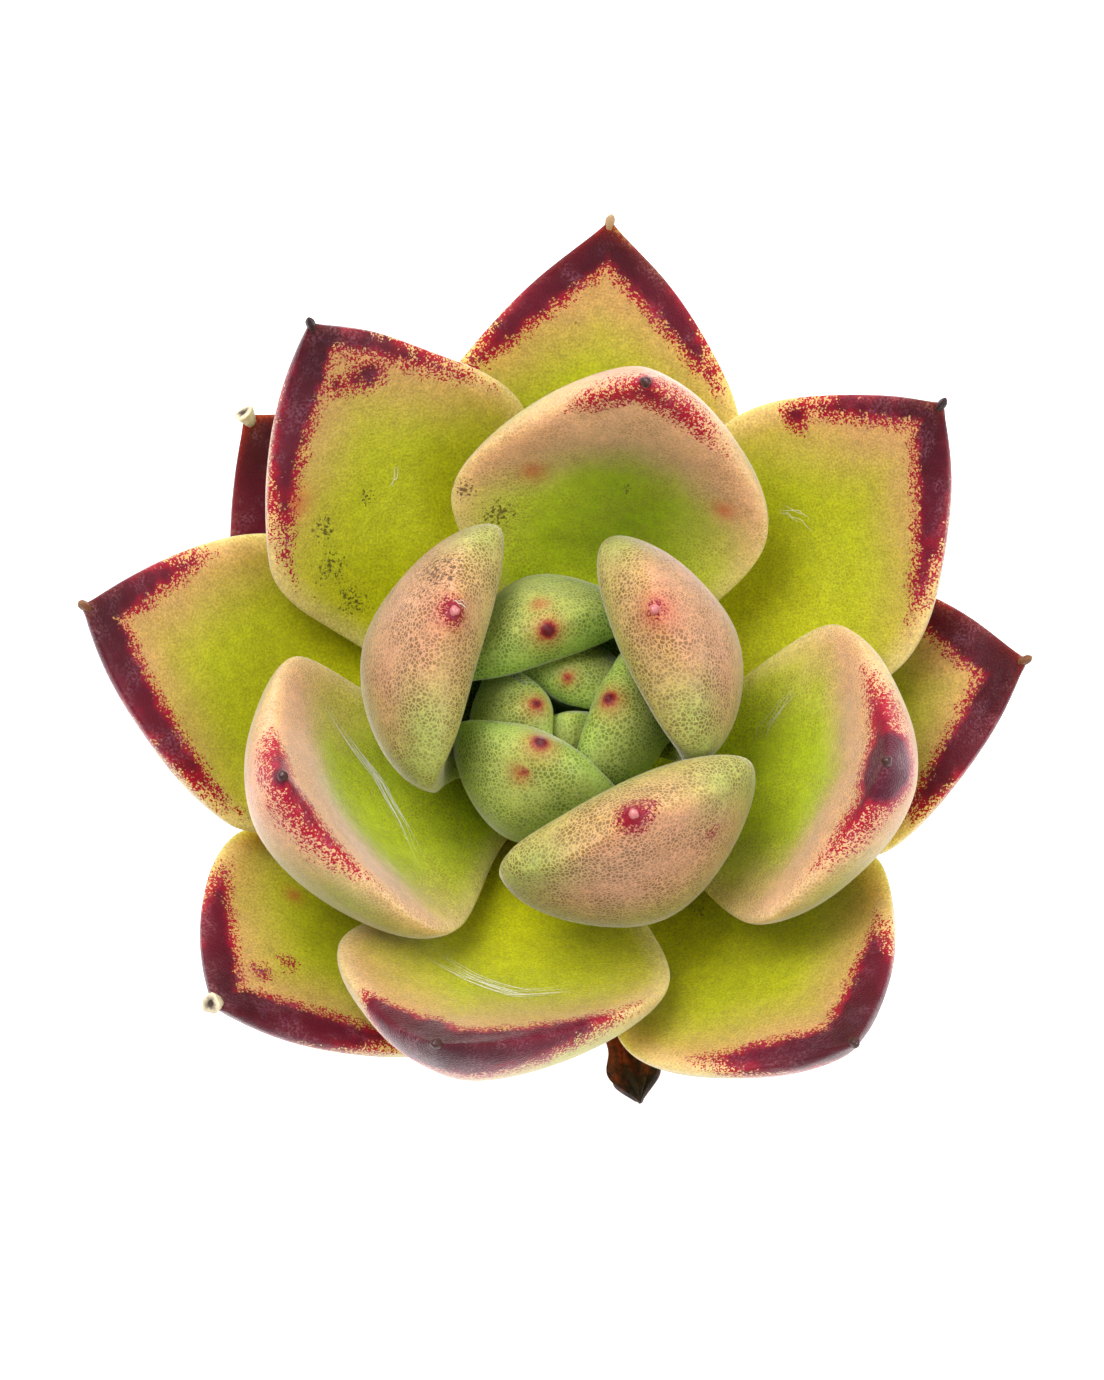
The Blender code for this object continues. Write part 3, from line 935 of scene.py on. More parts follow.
@dataclass
class Leaf:
    """One leaf's surface, held as rings about a curved spine so that it can give way to its neighbours."""

    plan: LeafPlan
    order: int
    length: float
    width: float
    thick: float
    rings: int = 110
    sides: int = 96
    crown_radius: float = 5.7
    crown_spread: float = 6.2
    heart_depth: float = 9.0
    pitch: float = 0.84
    curl: float = 1.6
    root_thinning: float = 0.45
    point_hollow: float = 0.35
    hollow_reach: float = 0.13
    mucro_radius: float = 0.45
    mucro_length: float = 1.0
    pressed_share: float = 0.45
    ripple: float = 0.16
    along: np.ndarray = field(init=False)
    turn: np.ndarray = field(init=False)
    outward: np.ndarray = field(init=False)
    sideways: np.ndarray = field(init=False)
    spine: np.ndarray = field(init=False)
    facing: np.ndarray = field(init=False)
    across: np.ndarray = field(init=False)
    above: np.ndarray = field(init=False)

    def __post_init__(self) -> None:
        """Lays the spine and the section round it."""
        even = np.linspace(0.0, 1.0, self.rings + 1)
        self.along = 0.5 * even + 0.5 * (1.0 - (1.0 - even) ** 1.5)
        self.turn = ring_angles(self.sides)
        azimuth = math.radians(self.plan.azimuth)
        self.outward = np.array([math.cos(azimuth), math.sin(azimuth), 0.0])
        self.sideways = np.array([-math.sin(azimuth), math.cos(azimuth), 0.0])
        self.lay_spine()
        self.lay_section()

    def name(self) -> str:
        """The name of the frame's node for this leaf."""
        return f"leaf_{self.order + 1:02d}"

    def lay_spine(self) -> None:
        """Sets the curve along the middle of the leaf, and the way its inner face looks at each ring."""
        plan = self.plan
        base_radius = self.crown_radius * (1.0 - math.exp(-(self.order + 0.7) / self.crown_spread))
        base_height = -self.heart_depth - self.pitch * self.order
        fine = np.linspace(0.0, 1.0, 200)
        rise = np.radians(plan.rise_base + (plan.rise_tip - plan.rise_base) * fine**self.curl)
        step = plan.length * self.length / (len(fine) - 1)

        def path(slopes: np.ndarray) -> np.ndarray:
            """Distance gained along a path at each of its samples."""
            return np.concatenate([[0.0], np.cumsum((slopes[1:] + slopes[:-1]) / 2.0)]) * step

        radius = base_radius + np.interp(self.along, fine, path(np.cos(rise)))
        height = base_height + np.interp(self.along, fine, path(np.sin(rise)))
        angle = np.interp(self.along, fine, rise)[:, None]
        sway = plan.sway * self.length * self.along**2
        up = np.array([0.0, 0.0, 1.0])
        self.spine = radius[:, None] * self.outward + height[:, None] * up + sway[:, None] * self.sideways
        self.facing = np.cos(angle) * up - np.sin(angle) * self.outward

    def half_width(self, from_tip: np.ndarray) -> np.ndarray:
        """Half of the width: a narrow neck, a broad middle, then curved sides that draw in to a point.

        Args:
            from_tip: Place along the leaf, from 0 at its point to 1 at its root.

        Returns:
            Half of the width, in millimetres.
        """
        plan = self.plan
        tip_part = 1.0 - plan.widest
        near = np.clip(from_tip / tip_part, 0.0, 1.0)
        rounded = 1.0 - (1.0 - near) ** plan.tip_round
        point = rounded * (1.0 - self.point_hollow * np.exp(-near / self.hollow_reach))
        neck = 1.0 - (1.0 - plan.neck) * eased((from_tip - tip_part) / plan.widest)
        return plan.width * self.width / 2.0 * np.where(from_tip < tip_part, point, neck)

    def thickness(self, from_tip: np.ndarray) -> np.ndarray:
        """Thickness along the spine: thickest halfway, thinner at the root, and thinning late at the tip.

        Args:
            from_tip: Place along the leaf, from 0 at its point to 1 at its root.

        Returns:
            The thickness, in millimetres.
        """
        outer = 1.0 - (1.0 - np.clip(2.0 * from_tip, 0.0, 1.0)) ** self.plan.blunt
        root = 1.0 - self.root_thinning * eased(2.0 * from_tip - 1.0)
        return self.plan.thickness * self.thick * np.where(from_tip < 0.5, outer, root)

    def lay_section(self) -> None:
        """Sets offsets across and above the spine: a shallow inner face over a deep rounded back."""
        plan = self.plan
        at = self.along[:-1]
        to_point = (1.0 - at) * plan.length * self.length
        mucro = self.mucro_radius * np.minimum(1.0, (to_point / self.mucro_length) ** 0.7)
        half = np.maximum(self.half_width(1.0 - at), mucro)[:, None]
        thick = np.maximum(self.thickness(1.0 - at), 2.0 * mucro)[:, None]
        at = at[:, None]
        share = plan.inner_share + plan.inner_tip * eased((at - 0.55) / 0.35)
        cosine = np.cos(self.turn)[None, :]
        sine = np.sin(self.turn)[None, :]
        keel = plan.keel * eased((at - 0.3) / 0.6)
        ridge = 1.15 - np.sqrt(cosine**2 + 0.15**2)
        back = (1.0 - keel) * np.abs(sine) + keel * ridge * np.minimum(1.0, 3.0 * np.abs(sine))
        above = np.where(sine >= 0.0, thick * share * sine, -thick * (1.0 - share) * back)
        dish = plan.dish * eased(at / 0.35) * (1.0 - 0.8 * eased((at - 0.75) / 0.25))
        wave = self.waves(at, self.turn[None, :]) * self.ripple * np.minimum(1.0, half / 6.0)
        self.across = (half + wave) * cosine
        self.above = above + dish * half * cosine**2 + wave * np.abs(sine)

    def waves(self, at: np.ndarray, turn: np.ndarray) -> np.ndarray:
        """Slow uneven waves over the leaf, of about 1 each way.

        Args:
            at: Place along the leaf.
            turn: Angle round the section, in radians.

        Returns:
            The height of the waves.
        """
        chance = np.random.default_rng(WAVE_SEED + self.order)
        total = np.zeros(np.broadcast(at, turn).shape)
        for _ in range(7):
            rate = chance.uniform(6.0, 26.0)
            beats = int(chance.integers(1, 6))
            shift = chance.uniform(0.0, FULL_TURN, 2)
            total += np.sin(rate * at + shift[0]) * np.cos(beats * turn + shift[1])
        return total / 2.5

    def grid(self) -> np.ndarray:
        """All ring points.

        Returns:
            The points by ring, then by side.
        """
        return (
            self.spine[:-1, None, :]
            + self.across[:, :, None] * self.sideways
            + self.above[:, :, None] * self.facing[:-1, None, :]
        )

    def points(self, stride: int = 1) -> np.ndarray:
        """Ring points, then the middle of the base, then the tip.

        Args:
            stride: Keeps every so many rings and sides.

        Returns:
            The points, one row each.
        """
        rings = self.grid()[::stride, ::stride]
        return np.vstack([rings.reshape(-1, 3), rings[0].mean(axis=0), self.spine[-1]])

    def give_way(self, inner: BVHTree, gap: float) -> None:
        """Presses the inner face clear of the leaves inside this one, keeping the thickness where it can.

        Args:
            inner: The leaves inside this one.
            gap: The least gap, in millimetres.
        """
        face = np.arange(self.sides // 2 + 1)
        back = -face % self.sides
        free = np.full((self.rings, len(face)), np.inf)
        reach = 2.0 * self.length
        for ring in range(self.rings):
            facing = Vector(self.facing[ring])
            for side in face:
                level = self.spine[ring] + self.across[ring, side] * self.sideways
                distance = inner.ray_cast(Vector(level) - facing * reach, facing, 2.0 * reach)[3]
                if distance is not None:
                    free[ring, side] = distance - reach
        need = np.maximum(0.0, self.above[:, face] + gap - free)
        wide = softened(spread(need, 5), 26)
        drop = softened(np.maximum(softened(spread(need, 1), 3), wide * 0.9), 2)
        drop = np.maximum(drop, softened(need, 1))
        thickness = self.above[:, face] - self.above[:, back]
        back_drop = np.maximum(0.0, drop - (1.0 - self.pressed_share) * thickness)
        self.above[:, back] -= softened(back_drop, 2)
        self.above[:, face] -= drop

    def place_of(self, spot: Spot) -> np.ndarray:
        """Finds a spot on the surface.

        Args:
            spot: The spot.

        Returns:
            The nearest ring point.
        """
        ring = int(np.abs(self.along[:-1] - spot.along).argmin())
        side = round(spot.turn / 360.0 * self.sides) % self.sides
        return self.grid()[ring, side]

    def distance(self, points: np.ndarray, spot: Spot) -> np.ndarray:
        """How far each point lies from a spot on the surface."""
        return np.linalg.norm(points - self.place_of(spot), axis=1)

    def dabs(self, points: np.ndarray, spots: tuple[Spot, ...], strength: float) -> np.ndarray:
        """Soft round marks at some spots.

        Args:
            points: Where to read them.
            spots: The marks.
            strength: How strong they are in the middle.

        Returns:
            The strength at each point.
        """
        total = np.zeros(len(points))
        for spot in spots:
            total = np.maximum(total, strength * faded(self.distance(points, spot), spot.radius))
        return total

    def trace(self, along: np.ndarray, turn: np.ndarray) -> tuple[np.ndarray, np.ndarray]:
        """Follows a path over the surface.

        Args:
            along: Places from root 0 to point 1.
            turn: Angles round the section, in degrees.

        Returns:
            The path's points, and which way its side of the leaf faces at each.
        """
        grid = self.grid()
        ring = np.clip(np.interp(along, self.along[:-1], range(self.rings)), 1, self.rings - 2)
        side = turn / 360.0 * self.sides
        low_ring, low_side = ring.astype(int), np.floor(side).astype(int)
        a, b = (ring - low_ring)[:, None], (side - low_side)[:, None]
        near, far = low_side % self.sides, (low_side + 1) % self.sides
        path = (1 - a) * ((1 - b) * grid[low_ring, near] + b * grid[low_ring, far])
        path = path + a * ((1 - b) * grid[low_ring + 1, near] + b * grid[low_ring + 1, far])
        return path, self.facing[low_ring] * np.sign(np.sin(np.radians(turn)))[:, None]

    def marks(self) -> dict[str, np.ndarray]:
        """The numbers that the skin reads: where each point of the surface lies, and how it is stained.

        Returns:
            Each field by name, with one number for each point.
        """
        points = self.points()
        margins = np.vstack([self.grid()[:, 0], self.grid()[:, self.sides // 2], self.spine[-1:]])
        nearest = np.array([np.sqrt(((margins - p) ** 2).sum(axis=1).min()) for p in points])
        inside = np.concatenate([np.tile(np.sin(self.turn) >= 0.0, self.rings), [False, True]])
        rim = np.where(inside, nearest, -nearest)
        tip = np.linalg.norm(points - self.spine[-1], axis=1)
        along = np.concatenate([np.repeat(self.along[:-1], self.sides), [0.0, 1.0]])
        lean = np.concatenate([np.tile(np.cos(self.turn), self.rings), [0.0, 0.0]])
        stain = np.maximum(self.plan.blot - tip, -6.0)
        for band in self.plan.bands:
            half = band.width / 2.0 * (1.0 - (tip / band.reach) ** band.fade)
            off = np.where(rim > band.inset, rim - band.inset, 0.5 * (band.inset - rim))
            strip = half - off - 8.0 * np.clip(-band.side * lean, 0.0, 1.0)
            stain = np.maximum(stain, strip)
        for spot in self.plan.stains:
            stain = np.maximum(stain, spot.radius - self.distance(points, spot))
        blush = self.dabs(points, self.plan.blushes, 0.75)
        if self.plan.halo > 0.0:
            blush = np.maximum(blush, 0.8 * faded(tip, self.plan.halo))
        # Darker green patches, partly the flesh's own colour and partly painted shade.
        shade = self.dabs(points, self.plan.shades, 0.8)
        grime = self.dabs(points, self.plan.grimes, 1.35)
        marks = {"rim": rim, "tip": tip, "along": along, "stain": stain}
        return marks | {"blush": blush, "shade": shade, "grime": grime}


@dataclass
class Rosette:
    """All the leaves, and the dried point at the end of each."""

    leaf_length: float = 51.0
    leaf_width: float = 31.0
    leaf_thickness: float = 8.5
    gap: float = 0.2
    tree_stride: int = 3
    point_radius: float = 0.42
    leaves: list[Leaf] = field(default_factory=list)
    middle: np.ndarray = field(default_factory=lambda: np.zeros(3))

    def grow(self) -> None:
        """Grows every leaf, each pressed clear of those inside it, and finds where the rosette sits."""
        corners: list[np.ndarray] = []
        faces: list[tuple[int, ...]] = []
        count = 0
        for order, plan in enumerate(leaf_plans()):
            leaf = Leaf(plan, order, self.leaf_length, self.leaf_width, self.leaf_thickness)
            if plan.age is LeafAge.WITHERED:
                self.shrivel(leaf)
            if order:
                tree = BVHTree.FromPolygons(np.vstack(corners).tolist(), faces)
                leaf.give_way(tree, self.gap)
            coarse = leaf.points(self.tree_stride)
            rings = len(range(0, leaf.rings, self.tree_stride))
            sides = leaf.sides // self.tree_stride
            faces += [tuple(index + count for index in face) for face in ring_faces(rings, sides)]
            count += len(coarse)
            corners.append(coarse)
            self.leaves.append(leaf)
        heart_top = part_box("leaf_01")[1].z / METRE - self.leaves[0].points()[:, 2].max()
        low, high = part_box("stem")
        axis = (low + high) / 2.0 / METRE
        self.middle = np.array([axis.x, axis.y, heart_top])

    def lay_scuffs(self) -> None:
        """Lays fine pale hairs along the dry scuffs on some leaves."""
        chance = np.random.default_rng(SCUFF_SEED)
        sides, steps = 5, 26
        angle = ring_angles(sides)
        taper = np.sin(np.linspace(0.1, math.pi - 0.1, steps))
        points: list[np.ndarray] = []
        faces: list[tuple[int, ...]] = []
        count = 0
        for scuff in SCUFFS:
            leaf = self.leaves[scuff.leaf]
            way = np.linspace(0.0, 1.0, len(scuff.path))
            stops, turns = zip(*scuff.path)
            for _ in range(scuff.strands):
                share = np.linspace(chance.uniform(0.0, 0.35), chance.uniform(0.65, 1.0), steps)
                along = np.interp(share, way, stops) + chance.normal(0.0, scuff.spread)
                turn = np.interp(share, way, turns) + chance.normal(0.0, 220.0 * scuff.spread)
                along = along + 0.004 * np.sin(share * chance.uniform(5.0, 14.0) + chance.uniform(0.0, 6.0))
                path, lift = leaf.trace(along, turn)
                ahead = np.gradient(path, axis=0)
                ahead /= np.linalg.norm(ahead, axis=1)[:, None]
                beside = np.cross(ahead, lift)
                beside /= np.linalg.norm(beside, axis=1)[:, None]
                width = scuff.width * chance.uniform(0.6, 1.2) * taper
                rings = (
                    path[:, None, :]
                    + (width[:, None] * np.cos(angle))[:, :, None] * beside[:, None, :]
                    + (0.6 * width[:, None] * np.sin(angle))[:, :, None] * lift[:, None, :]
                )
                points.append(np.vstack([rings.reshape(-1, 3), path[0], path[-1]]))
                faces += [tuple(index + count for index in face) for face in ring_faces(steps, sides)]
                count += steps * sides + 2
        piece = add_mesh("pale_scuffs", np.vstack(points) + self.middle, faces)
        piece.data.materials.append(FibreFinish().make())
        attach(piece, BODY)
        LOG.info("%s: %d hairs", piece.name, sum(scuff.strands for scuff in SCUFFS))

    def shrivel(self, leaf: Leaf) -> None:
        """Wrinkles and twists a dried leaf.

        Args:
            leaf: The leaf to change.
        """
        at = leaf.along[:-1, None]
        turn = leaf.turn[None, :]
        folds = 0.32 * np.sin(9.0 * turn + 5.0 * at) + 0.2 * np.sin(23.0 * at + 3.0 * turn)
        size = np.minimum(1.0, (1.0 - at) * 9.0)
        knob = 0.42 + 0.5 * np.exp(-(((at - 0.9) / 0.07) ** 2)) - 0.1 * np.sin(17.0 * at)
        leaf.across = leaf.across * knob + folds * size * np.cos(turn)
        leaf.above = leaf.above * (1.2 + 0.5 * knob) + folds * size * np.sin(turn)

    def dress(self) -> None:
        """Builds each leaf's mesh with its skin, and its dried point."""
        skins = {
            LeafAge.HEART: HEART_SKIN.make(),
            LeafAge.BUD: BUD_SKIN.make(),
            LeafAge.MIDDLE: MIDDLE_SKIN.make(),
            LeafAge.OUTER: OUTER_SKIN.make(),
            LeafAge.WITHERED: WitheredSkin().make(),
        }
        points = {kind: finish.make() for kind, finish in POINT_FINISHES.items()}
        for leaf in self.leaves:
            faces = ring_faces(leaf.rings, leaf.sides)
            piece = add_mesh(f"{leaf.name()}_flesh", leaf.points() + self.middle, faces)
            for name, values in leaf.marks().items():
                add_field(piece, name, values)
            piece.data.materials.append(skins[leaf.plan.age])
            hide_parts(leaf.name())
            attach(piece, BODY)
            LOG.info("%s: %d corners", piece.name, len(piece.data.vertices))
            if leaf.plan.point in points:
                self.add_point(leaf, points[leaf.plan.point])

    def point_profile(self, kind: PointKind) -> list[tuple[float, float]]:
        """The outline of a dried point.

        Args:
            kind: What the point has dried into.

        Returns:
            Distance past the leaf's end and radius, from inside the leaf outwards.
        """
        if kind is PointKind.SCAR:
            rim = [(0.1, 1.0), (0.24, 0.84), (0.24, 0.5), (0.1, 0.24)]
            return [(-1.4, 0.5), (-0.7, 0.75), (-0.2, 0.9), *rim]
        if kind is PointKind.PALE:
            return [(-0.8, 0.3), (-0.4, 0.46), (-0.1, 0.48), (0.1, 0.42), (0.22, 0.28), (0.26, 0.1)]
        if kind is PointKind.NUB:
            return [(-0.9, 0.45), (-0.4, 0.52), (-0.1, 0.5), (0.12, 0.4), (0.26, 0.24), (0.3, 0.1)]
        size = self.point_radius
        long = 0.8 if kind is PointKind.DARK else 0.7
        return [
            (-1.0, 0.9 * size),
            (-0.4, 1.1 * size),
            (0.05, size),
            (0.4 * long, 0.75 * size),
            (0.65 * long, 0.5 * size),
            (0.85 * long, 0.3 * size),
            (0.95 * long, 0.1 * size),
        ]

    def add_point(self, leaf: Leaf, finish: bpy.types.Material) -> None:
        """Adds the dried point at a leaf's end: a hooked thorn, a low nub or a cut scar.

        Args:
            leaf: The leaf.
            finish: The point's material.
        """
        profile = self.point_profile(leaf.plan.point)
        heading = leaf.spine[-1] - leaf.spine[-8]
        heading = heading / np.linalg.norm(heading)
        lift = leaf.facing[-1]
        side = np.cross(heading, lift)
        chance = np.random.default_rng(POINT_SEED + leaf.order)
        sides = 20
        turn = ring_angles(sides)
        rough = 1.0 + 0.1 * np.sin(3.0 * turn + chance.uniform(0, 6))
        rough = rough + 0.06 * np.sin(5.0 * turn + chance.uniform(0, 6))
        steps = np.linspace(0.0, len(profile) - 1.0, 22)
        out = np.interp(steps, range(len(profile)), [p[0] for p in profile])
        radius = np.interp(steps, range(len(profile)), [p[1] for p in profile])
        hook = 0.14 * np.maximum(out, 0.0) ** 2
        centre = leaf.spine[-1] + out[:, None] * heading + hook[:, None] * lift
        rings = (
            centre[:, None, :]
            + (radius[:, None] * rough * np.cos(turn))[:, :, None] * side
            + (radius[:, None] * rough * np.sin(turn))[:, :, None] * lift
        )
        points = np.vstack([rings.reshape(-1, 3), centre[0], centre[-1]]) + self.middle
        piece = add_mesh(f"{leaf.name()}_point", points, ring_faces(len(steps), sides))
        share = np.clip(out / 1.4, 0.0, 1.0)
        worn = np.concatenate([np.repeat(share, sides), [0.0, 1.0]])
        if leaf.plan.point is PointKind.SCAR:
            worn = np.concatenate([np.repeat(radius, sides), [0.0, 0.0]])
        add_field(piece, "worn", worn)
        piece.data.materials.append(finish)
        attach(piece, BODY)


@dataclass
class Pot:
    """A plain tapered clay pot, turned on a wheel, with a band round its rim.

    edge is how round its corners are, wobble how uneven the wheel left it, and step how close the rows of
    its profile lie.
    """

    base_radius: float = 19.0
    wall: float = 2.4
    floor: float = 3.0
    band_height: float = 9.0
    band_step: float = 1.3
    edge: float = 0.7
    drains: int = 4
    drain_radius: float = 2.0
    drain_ring_share: float = 0.55
    segments: int = 192
    drain_sides: int = 40
    wobble: float = 0.05
    step: float = 0.6

    def outer(self, height: float) -> float:
        """Outer radius of the wall under the band."""
        top = self.rim_radius() - self.band_step
        return self.base_radius + (top - self.base_radius) * height / self.height()

    def rim_radius(self) -> float:
        """Radius of the rim, from the frame."""
        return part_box("pot")[1].x / METRE

    def height(self) -> float:
        """Height of the pot, from the frame."""
        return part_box("pot")[1].z / METRE

    def corners(self) -> list[tuple[float, float, float]]:
        """The profile's corners as radius, height and rounding.

        Returns:
            The corners, from the middle of the underside up and round to the middle of the floor.
        """
        tall = self.height()
        rim = self.rim_radius()
        band = tall - self.band_height
        inner_top = self.outer(tall) - self.wall
        inner_floor = self.outer(self.floor) - self.wall
        return [
            (self.base_radius, 0.0, self.edge),
            (self.outer(band), band, 0.3),
            (rim, band + 0.2, self.edge),
            (rim, tall, self.edge),
            (inner_top, tall, self.edge),
            (inner_floor, self.floor, self.edge),
        ]

    def profile(self) -> np.ndarray:
        """The profile with rounded corners and close steps between them.

        Returns:
            Radius and height, one row for each step.
        """
        corners = self.corners()
        path = [(0.0, 0.0)] + [c[:2] for c in corners] + [(0.0, self.floor)]
        rows: list[np.ndarray] = []
        for index, (radius, height, round_) in enumerate(corners, start=1):
            here = np.array([radius, height])
            before = np.array(path[index - 1]) - here
            after = np.array(path[index + 1]) - here
            start = here + before / np.linalg.norm(before) * round_
            end = here + after / np.linalg.norm(after) * round_
            if rows:
                length = np.linalg.norm(start - rows[-1])
                steps = max(2, int(length / self.step))
                rows += [rows[-1] + (start - rows[-1]) * k / steps for k in range(1, steps)]
            for share in np.linspace(0.0, 1.0, 6):
                bent = (1 - share) ** 2 * start + 2 * share * (1 - share) * here + share**2 * end
                rows.append(bent)
        return np.array(rows)

    def build(self) -> None:
        """Turns the pot and drills its drain holes."""
        profile = self.profile()
        turn = ring_angles(self.segments)
        wheel = self.wobble * np.sin(profile[:, 1] * 3.4) + 0.035 * np.sin(profile[:, 1] * 7.9 + 1.0)
        wall = (profile[:, 1] > 2.0) & (profile[:, 1] < self.height() - 1.2)
        radius = (profile[:, 0] + wheel * wall)[:, None]
        radius = radius - self.wobble * (1.0 + np.sin(2.0 * turn + 0.6))[None, :] * wall[:, None]
        height = profile[:, 1:2] + 0.0 * turn
        rings = np.stack([radius * np.cos(turn), radius * np.sin(turn), height], axis=2)
        points = np.vstack([rings.reshape(-1, 3), [0.0, 0.0, 0.0], [0.0, 0.0, self.floor]])
        pot = add_mesh("clay_pot", points, ring_faces(len(profile), self.segments))
        rim = np.exp(-(((profile[:, 1] - self.height()) / 0.5) ** 2))
        add_field(pot, "edge", np.concatenate([np.repeat(rim, self.segments), [0.0, 0.0]]))
        self.drill(pot)
        pot.data.materials.clear()
        pot.data.materials.append(ClayFinish().make())
        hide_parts("pot")
        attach(pot, BODY)
        LOG.info("%s: %d corners", pot.name, len(pot.data.vertices))

    def drill(self, pot: bpy.types.Object) -> None:
        """Cuts the drain holes through the floor.

        Args:
            pot: The pot.
        """
        ring = (self.outer(self.floor) - self.wall) * self.drain_ring_share
        below, top = -self.floor, 2.0 * self.floor
        turn = ring_angles(self.drain_sides)
        for hole in range(self.drains):
            angle = FULL_TURN * (hole + 0.5) / self.drains
            x, y = ring * math.cos(angle), ring * math.sin(angle)
            across = x + self.drain_radius * np.cos(turn)
            along = y + self.drain_radius * np.sin(turn)
            rings = [np.stack([across, along, z + 0 * turn], 1) for z in (below, top)]
            points = np.vstack([*rings, [x, y, below], [x, y, top]])
            tool = add_mesh("drain_tool", points, ring_faces(2, self.drain_sides))
            bore = pot.modifiers.new("bore", "BOOLEAN")
            bore.operation = "DIFFERENCE"
            bore.solver = "EXACT"
            bore.object = tool
            bpy.context.view_layer.update()
            cut = bpy.data.meshes.new_from_object(pot.evaluated_get(bpy.context.evaluated_depsgraph_get()))
            pot.modifiers.clear()
            pot.data = cut
            bpy.data.objects.remove(tool, do_unlink=True)


@dataclass
class PottingMix:
    """The soil in the pot, with loose grit on top of it.

    dome is how far the top falls from the middle to the wall. lie and wall_room say, as shares of a
    stone's size, how high it lies on the soil and how far it stays from the wall.
    """

    stones: int = 900
    smallest: float = 0.35
    largest: float = 1.15
    dome: float = 1.2
    lie: float = 0.05
    wall_room: float = 1.3
    seed: int = 5

    def dress(self) -> None:
        """Gives the frame's soil its finish and lays the grit."""
        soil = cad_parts["soil"]
        soil.material_slots[0].material = SoilFinish().make()
        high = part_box("soil")[1] / METRE
        chance = np.random.default_rng(self.seed)
        bpy.ops.mesh.primitive_ico_sphere_add(subdivisions=2, radius=1.0)
        ball = bpy.context.active_object
        shape = np.array([vertex.co for vertex in ball.data.vertices])
        ball_faces = [tuple(face.vertices) for face in ball.data.polygons]
        bpy.data.objects.remove(ball, do_unlink=True)
        edge = high.x
        points: list[np.ndarray] = []
        faces: list[tuple[int, ...]] = []
        shades: list[np.ndarray] = []
        for stone in range(self.stones):
            away = edge * math.sqrt(chance.uniform(0.04, 0.99))
            angle = chance.uniform(0.0, FULL_TURN)
            size = self.smallest + (self.largest - self.smallest) * chance.uniform() ** 2
            fall = self.dome * (away / edge) ** 2
            lumps = 1.0 + 0.28 * (shape @ chance.normal(size=3)).clip(-1, 1) * chance.uniform(0.3, 1.0)
            lumps += 0.12 * np.sin(5.0 * (shape @ chance.normal(size=3)))
            stretch = chance.uniform(0.65, 1.2, 3)
            level = high.z - fall + self.lie * size
            centre = np.array([away * math.cos(angle), away * math.sin(angle), level])
            limit = edge - size * self.wall_room
            if away > limit:
                centre[:2] *= limit / away
            points.append(shape * lumps[:, None] * stretch * size + centre)
            faces += [tuple(index + stone * len(shape) for index in face) for face in ball_faces]
            shades.append(np.full(len(shape), chance.uniform()))
        grit = add_mesh("loose_grit", np.vstack(points), faces)
        add_field(grit, "shade", np.concatenate(shades))
        grit.data.materials.append(GritFinish().make())
        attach(grit, BODY)
        LOG.info("%s: %d stones", grit.name, self.stones)


@dataclass
class Stem:
    """The short stem that the leaves grow from."""

    def dress(self) -> None:
        """Gives the frame's stem its bark."""
        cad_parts["stem"].material_slots[0].material = BarkFinish().make()
        LOG.info("stem: bark")


